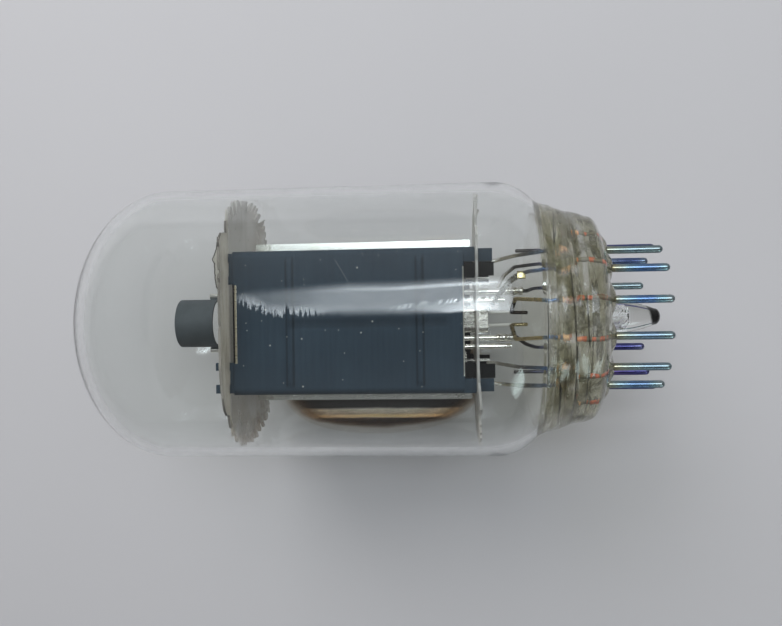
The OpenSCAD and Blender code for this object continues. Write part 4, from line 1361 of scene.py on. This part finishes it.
def softbox_face(light):
    """A softbox face with a soft upper and lower border, a bright line along each, and a torn far end."""
    em, u, v, put, mth, rng, curve, noise = light_nodes(light)
    # the threads of the torn end curve, the strokes of the streak lean
    thread = mth("ADD", u, mth("MULTIPLY", mth("ADD", mth("MULTIPLY", v, 0.011), mth("MULTIPLY", mth("MULTIPLY", v, v), 0.0455)), curve(u, (0.02, 1.0), (0.37, 0.0))))
    fine, big, wide = noise(470, 0.0, 2.5, thread), noise(95, 0.0, 0.0, thread), noise(40, 5.0, 3.0)
    stroke = noise(300, 0.0, 0.5, mth("SUBTRACT", u, mth("MULTIPLY", v, 0.035)))
    rag = mth("MULTIPLY", curve(u, (0.02, 0.6), (0.04, 1.0), (0.12, 1.0), (0.15, 0.8), (0.18, 0.25), (0.21, 0.0)),
              mth("ADD", mth("MULTIPLY", mth("MAXIMUM", mth("SUBTRACT", fine, 0.45), 0.0), 1.1), mth("MULTIPLY", mth("MAXIMUM", mth("SUBTRACT", big, 0.5), 0.0), 0.5)))
    base = curve(u, (0.015, 0.50), (0.0386, 0.33), (0.052, 0.24), (0.072, 0.13), (0.093, 0.02), (0.11, 0.0), (0.30, 0.0), (0.36, 0.04), (0.40, 0.08), (0.50, 0.04))
    foot = mth("ADD", base, rag)
    soft = curve(u, (0.03, 0.04), (0.13, 0.05), (0.20, 0.25), (0.31, 0.24), (0.36, 0.08), (0.50, 0.10))
    low = rng(v, foot, mth("ADD", foot, soft))
    head = curve(u, (0.02, 0.52), (0.11, 0.62), (0.19, 0.71), (0.28, 0.71), (0.33, 0.76), (0.37, 0.80), (0.41, 0.82), (0.46, 0.83))
    high = rng(v, mth("ADD", head, 0.27), mth("SUBTRACT", head, 0.02))
    line = mth("MULTIPLY", rng(mth("ABSOLUTE", mth("SUBTRACT", v, head)), 0.065, 0.01),
               mth("MULTIPLY", curve(u, (0.12, 0.0), (0.17, 0.15), (0.20, 0.22), (0.28, 0.55), (0.37, 0.75), (0.41, 0.9), (0.47, 0.8), (0.52, 0.2)), 2.0))
    # a bright core lies along the lower border; near the base a broken streak rises out of it
    comb = mth("ADD", 1.0, mth("MULTIPLY", mth("SUBTRACT", rng(fine, 0.34, 0.66), 0.5), curve(u, (0.03, 0.7), (0.14, 0.7), (0.20, 0.2), (0.25, 0.0))))
    core = mth("MULTIPLY", mth("MULTIPLY", rng(v, mth("ADD", base, 0.36), mth("ADD", base, 0.10)), comb),
               mth("MULTIPLY", curve(u, (0.02, 0.10), (0.05, 0.27), (0.08, 0.32), (0.12, 0.34), (0.15, 0.26), (0.18, 0.12), (0.23, 0.03), (0.28, 0.06), (0.34, 0.20), (0.37, 0.42),
                                    (0.40, 0.66), (0.44, 0.75), (0.47, 0.55), (0.51, 0.1)), 3.0))
    height = curve(u, (0.28, 0.19), (0.30, 0.26), (0.318, 0.31), (0.335, 0.31), (0.35, 0.33), (0.37, 0.36), (0.42, 0.39), (0.50, 0.40))
    dash = mth("MULTIPLY", mth("MULTIPLY", rng(mth("ABSOLUTE", mth("SUBTRACT", v, height)), 0.075, 0.03), rng(stroke, 0.46, 0.55)),
               mth("MULTIPLY", curve(u, (0.265, 0.0), (0.285, 0.24), (0.315, 0.24), (0.335, 0.06), (0.348, 0.5), (0.39, 0.75), (0.43, 0.6), (0.47, 0.2), (0.50, 0.0)), 3.0))
    glow = mth("ADD", core, dash)
    body = mth("ADD", curve(u, (0.02, 0.10), (0.05, 0.24), (0.11, 0.46), (0.19, 0.78), (0.30, 0.82), (0.38, 0.78), (0.46, 0.85), (0.60, 0.85)),
               mth("ADD", mth("MULTIPLY", mth("SUBTRACT", wide, 0.5), 0.35), mth("MULTIPLY", mth("SUBTRACT", fine, 0.5), curve(u, (0.03, 0.25), (0.15, 0.25), (0.24, 0.10), (0.32, 0.0)))))
    ends = mth("MULTIPLY", rng(u, 0.005, 0.04), rng(u, 0.995, 0.95))
    put(em.inputs["Strength"], mth("MULTIPLY", mth("MULTIPLY", mth("MULTIPLY", low, high), ends), mth("ADD", body, mth("ADD", line, glow))))


def lens_face(light):
    """A leaf-shaped window, set askew, pointed at two ends and soft at its border."""
    em, u, v, put, mth, rng, curve, noise = light_nodes(light)
    a = mth("SUBTRACT", mth("MULTIPLY", u, 2.5), 1.44)
    b = mth("SUBTRACT", mth("MULTIPLY", v, 2.0), 0.825)
    along = mth("ADD", mth("MULTIPLY", a, 0.411), mth("MULTIPLY", b, 1.01))
    across = mth("ABSOLUTE", mth("SUBTRACT", mth("MULTIPLY", a, 0.782), mth("MULTIPLY", b, 0.777)))
    room = mth("MAXIMUM", mth("SUBTRACT", 1.0, mth("MULTIPLY", along, along)), 0.001)
    put(em.inputs["Strength"], rng(mth("DIVIDE", across, room), 1.0, 0.6))


key = area("softbox", (0.04, 0.18, 0.50), (0.04, 0.18, 0.0), 0.48, 0.30, 3.9, (0.92, 1.0, 1.06))
softbox_face(key)
fill = area("high_fill", (-0.17, 0.30, 0.27), (-0.03, 0.0, 0.0), 0.26, 0.22, 5.6, (1.0, 0.99, 1.0))
fill.visible_glossy = False
fill.visible_transmission = False
glint = area("side_window", (0.05436, -0.09408, 0.06576), (-0.0128, -0.0076, 0.0167), 0.0625, 0.060, 3.6, (0.82, 1.0, 0.98))
lens_face(glint)
glint.visible_diffuse = False
for lamp in (key, fill, glint):
    lamp.visible_camera = False

world = bpy.data.worlds.new("studio")
SCENE.world = world
world.use_nodes = True
wt = world.node_tree
wt.nodes.clear()
wo = wt.nodes.new("ShaderNodeOutputWorld")
bg = wt.nodes.new("ShaderNodeBackground")
tc = wt.nodes.new("ShaderNodeTexCoord")
sx = wt.nodes.new("ShaderNodeSeparateXYZ")
rp = wt.nodes.new("ShaderNodeValToRGB")
wt.links.new(tc.outputs["Generated"], sx.inputs[0])
wt.links.new(sx.outputs[2], rp.inputs[0])
# the room is a little brighter towards +Y, the side of the lamps
lift = wt.nodes.new("ShaderNodeMath")
lift.operation = "MULTIPLY"
lift.use_clamp = True
lift.inputs[1].default_value = 0.20
wt.links.new(sx.outputs[1], lift.inputs[0])
total = wt.nodes.new("ShaderNodeMath")
total.operation = "ADD"
wt.links.new(rp.outputs[0], total.inputs[0])
wt.links.new(lift.outputs[0], total.inputs[1])
wt.links.new(total.outputs[0], bg.inputs[0])
wt.links.new(bg.outputs[0], wo.inputs[0])
cr = rp.color_ramp
for pos, val in ((0.0, 0.24), (0.25, 0.24), (0.6, 0.20), (0.80, 0.17), (0.92, 0.15), (1.0, 0.14)):
    e = cr.elements.new(pos) if pos not in (0.0, 1.0) else cr.elements[0 if pos == 0.0 else len(cr.elements) - 1]
    e.color = (val, val, val * 1.0, 1)
bg.inputs[1].default_value = 1.0
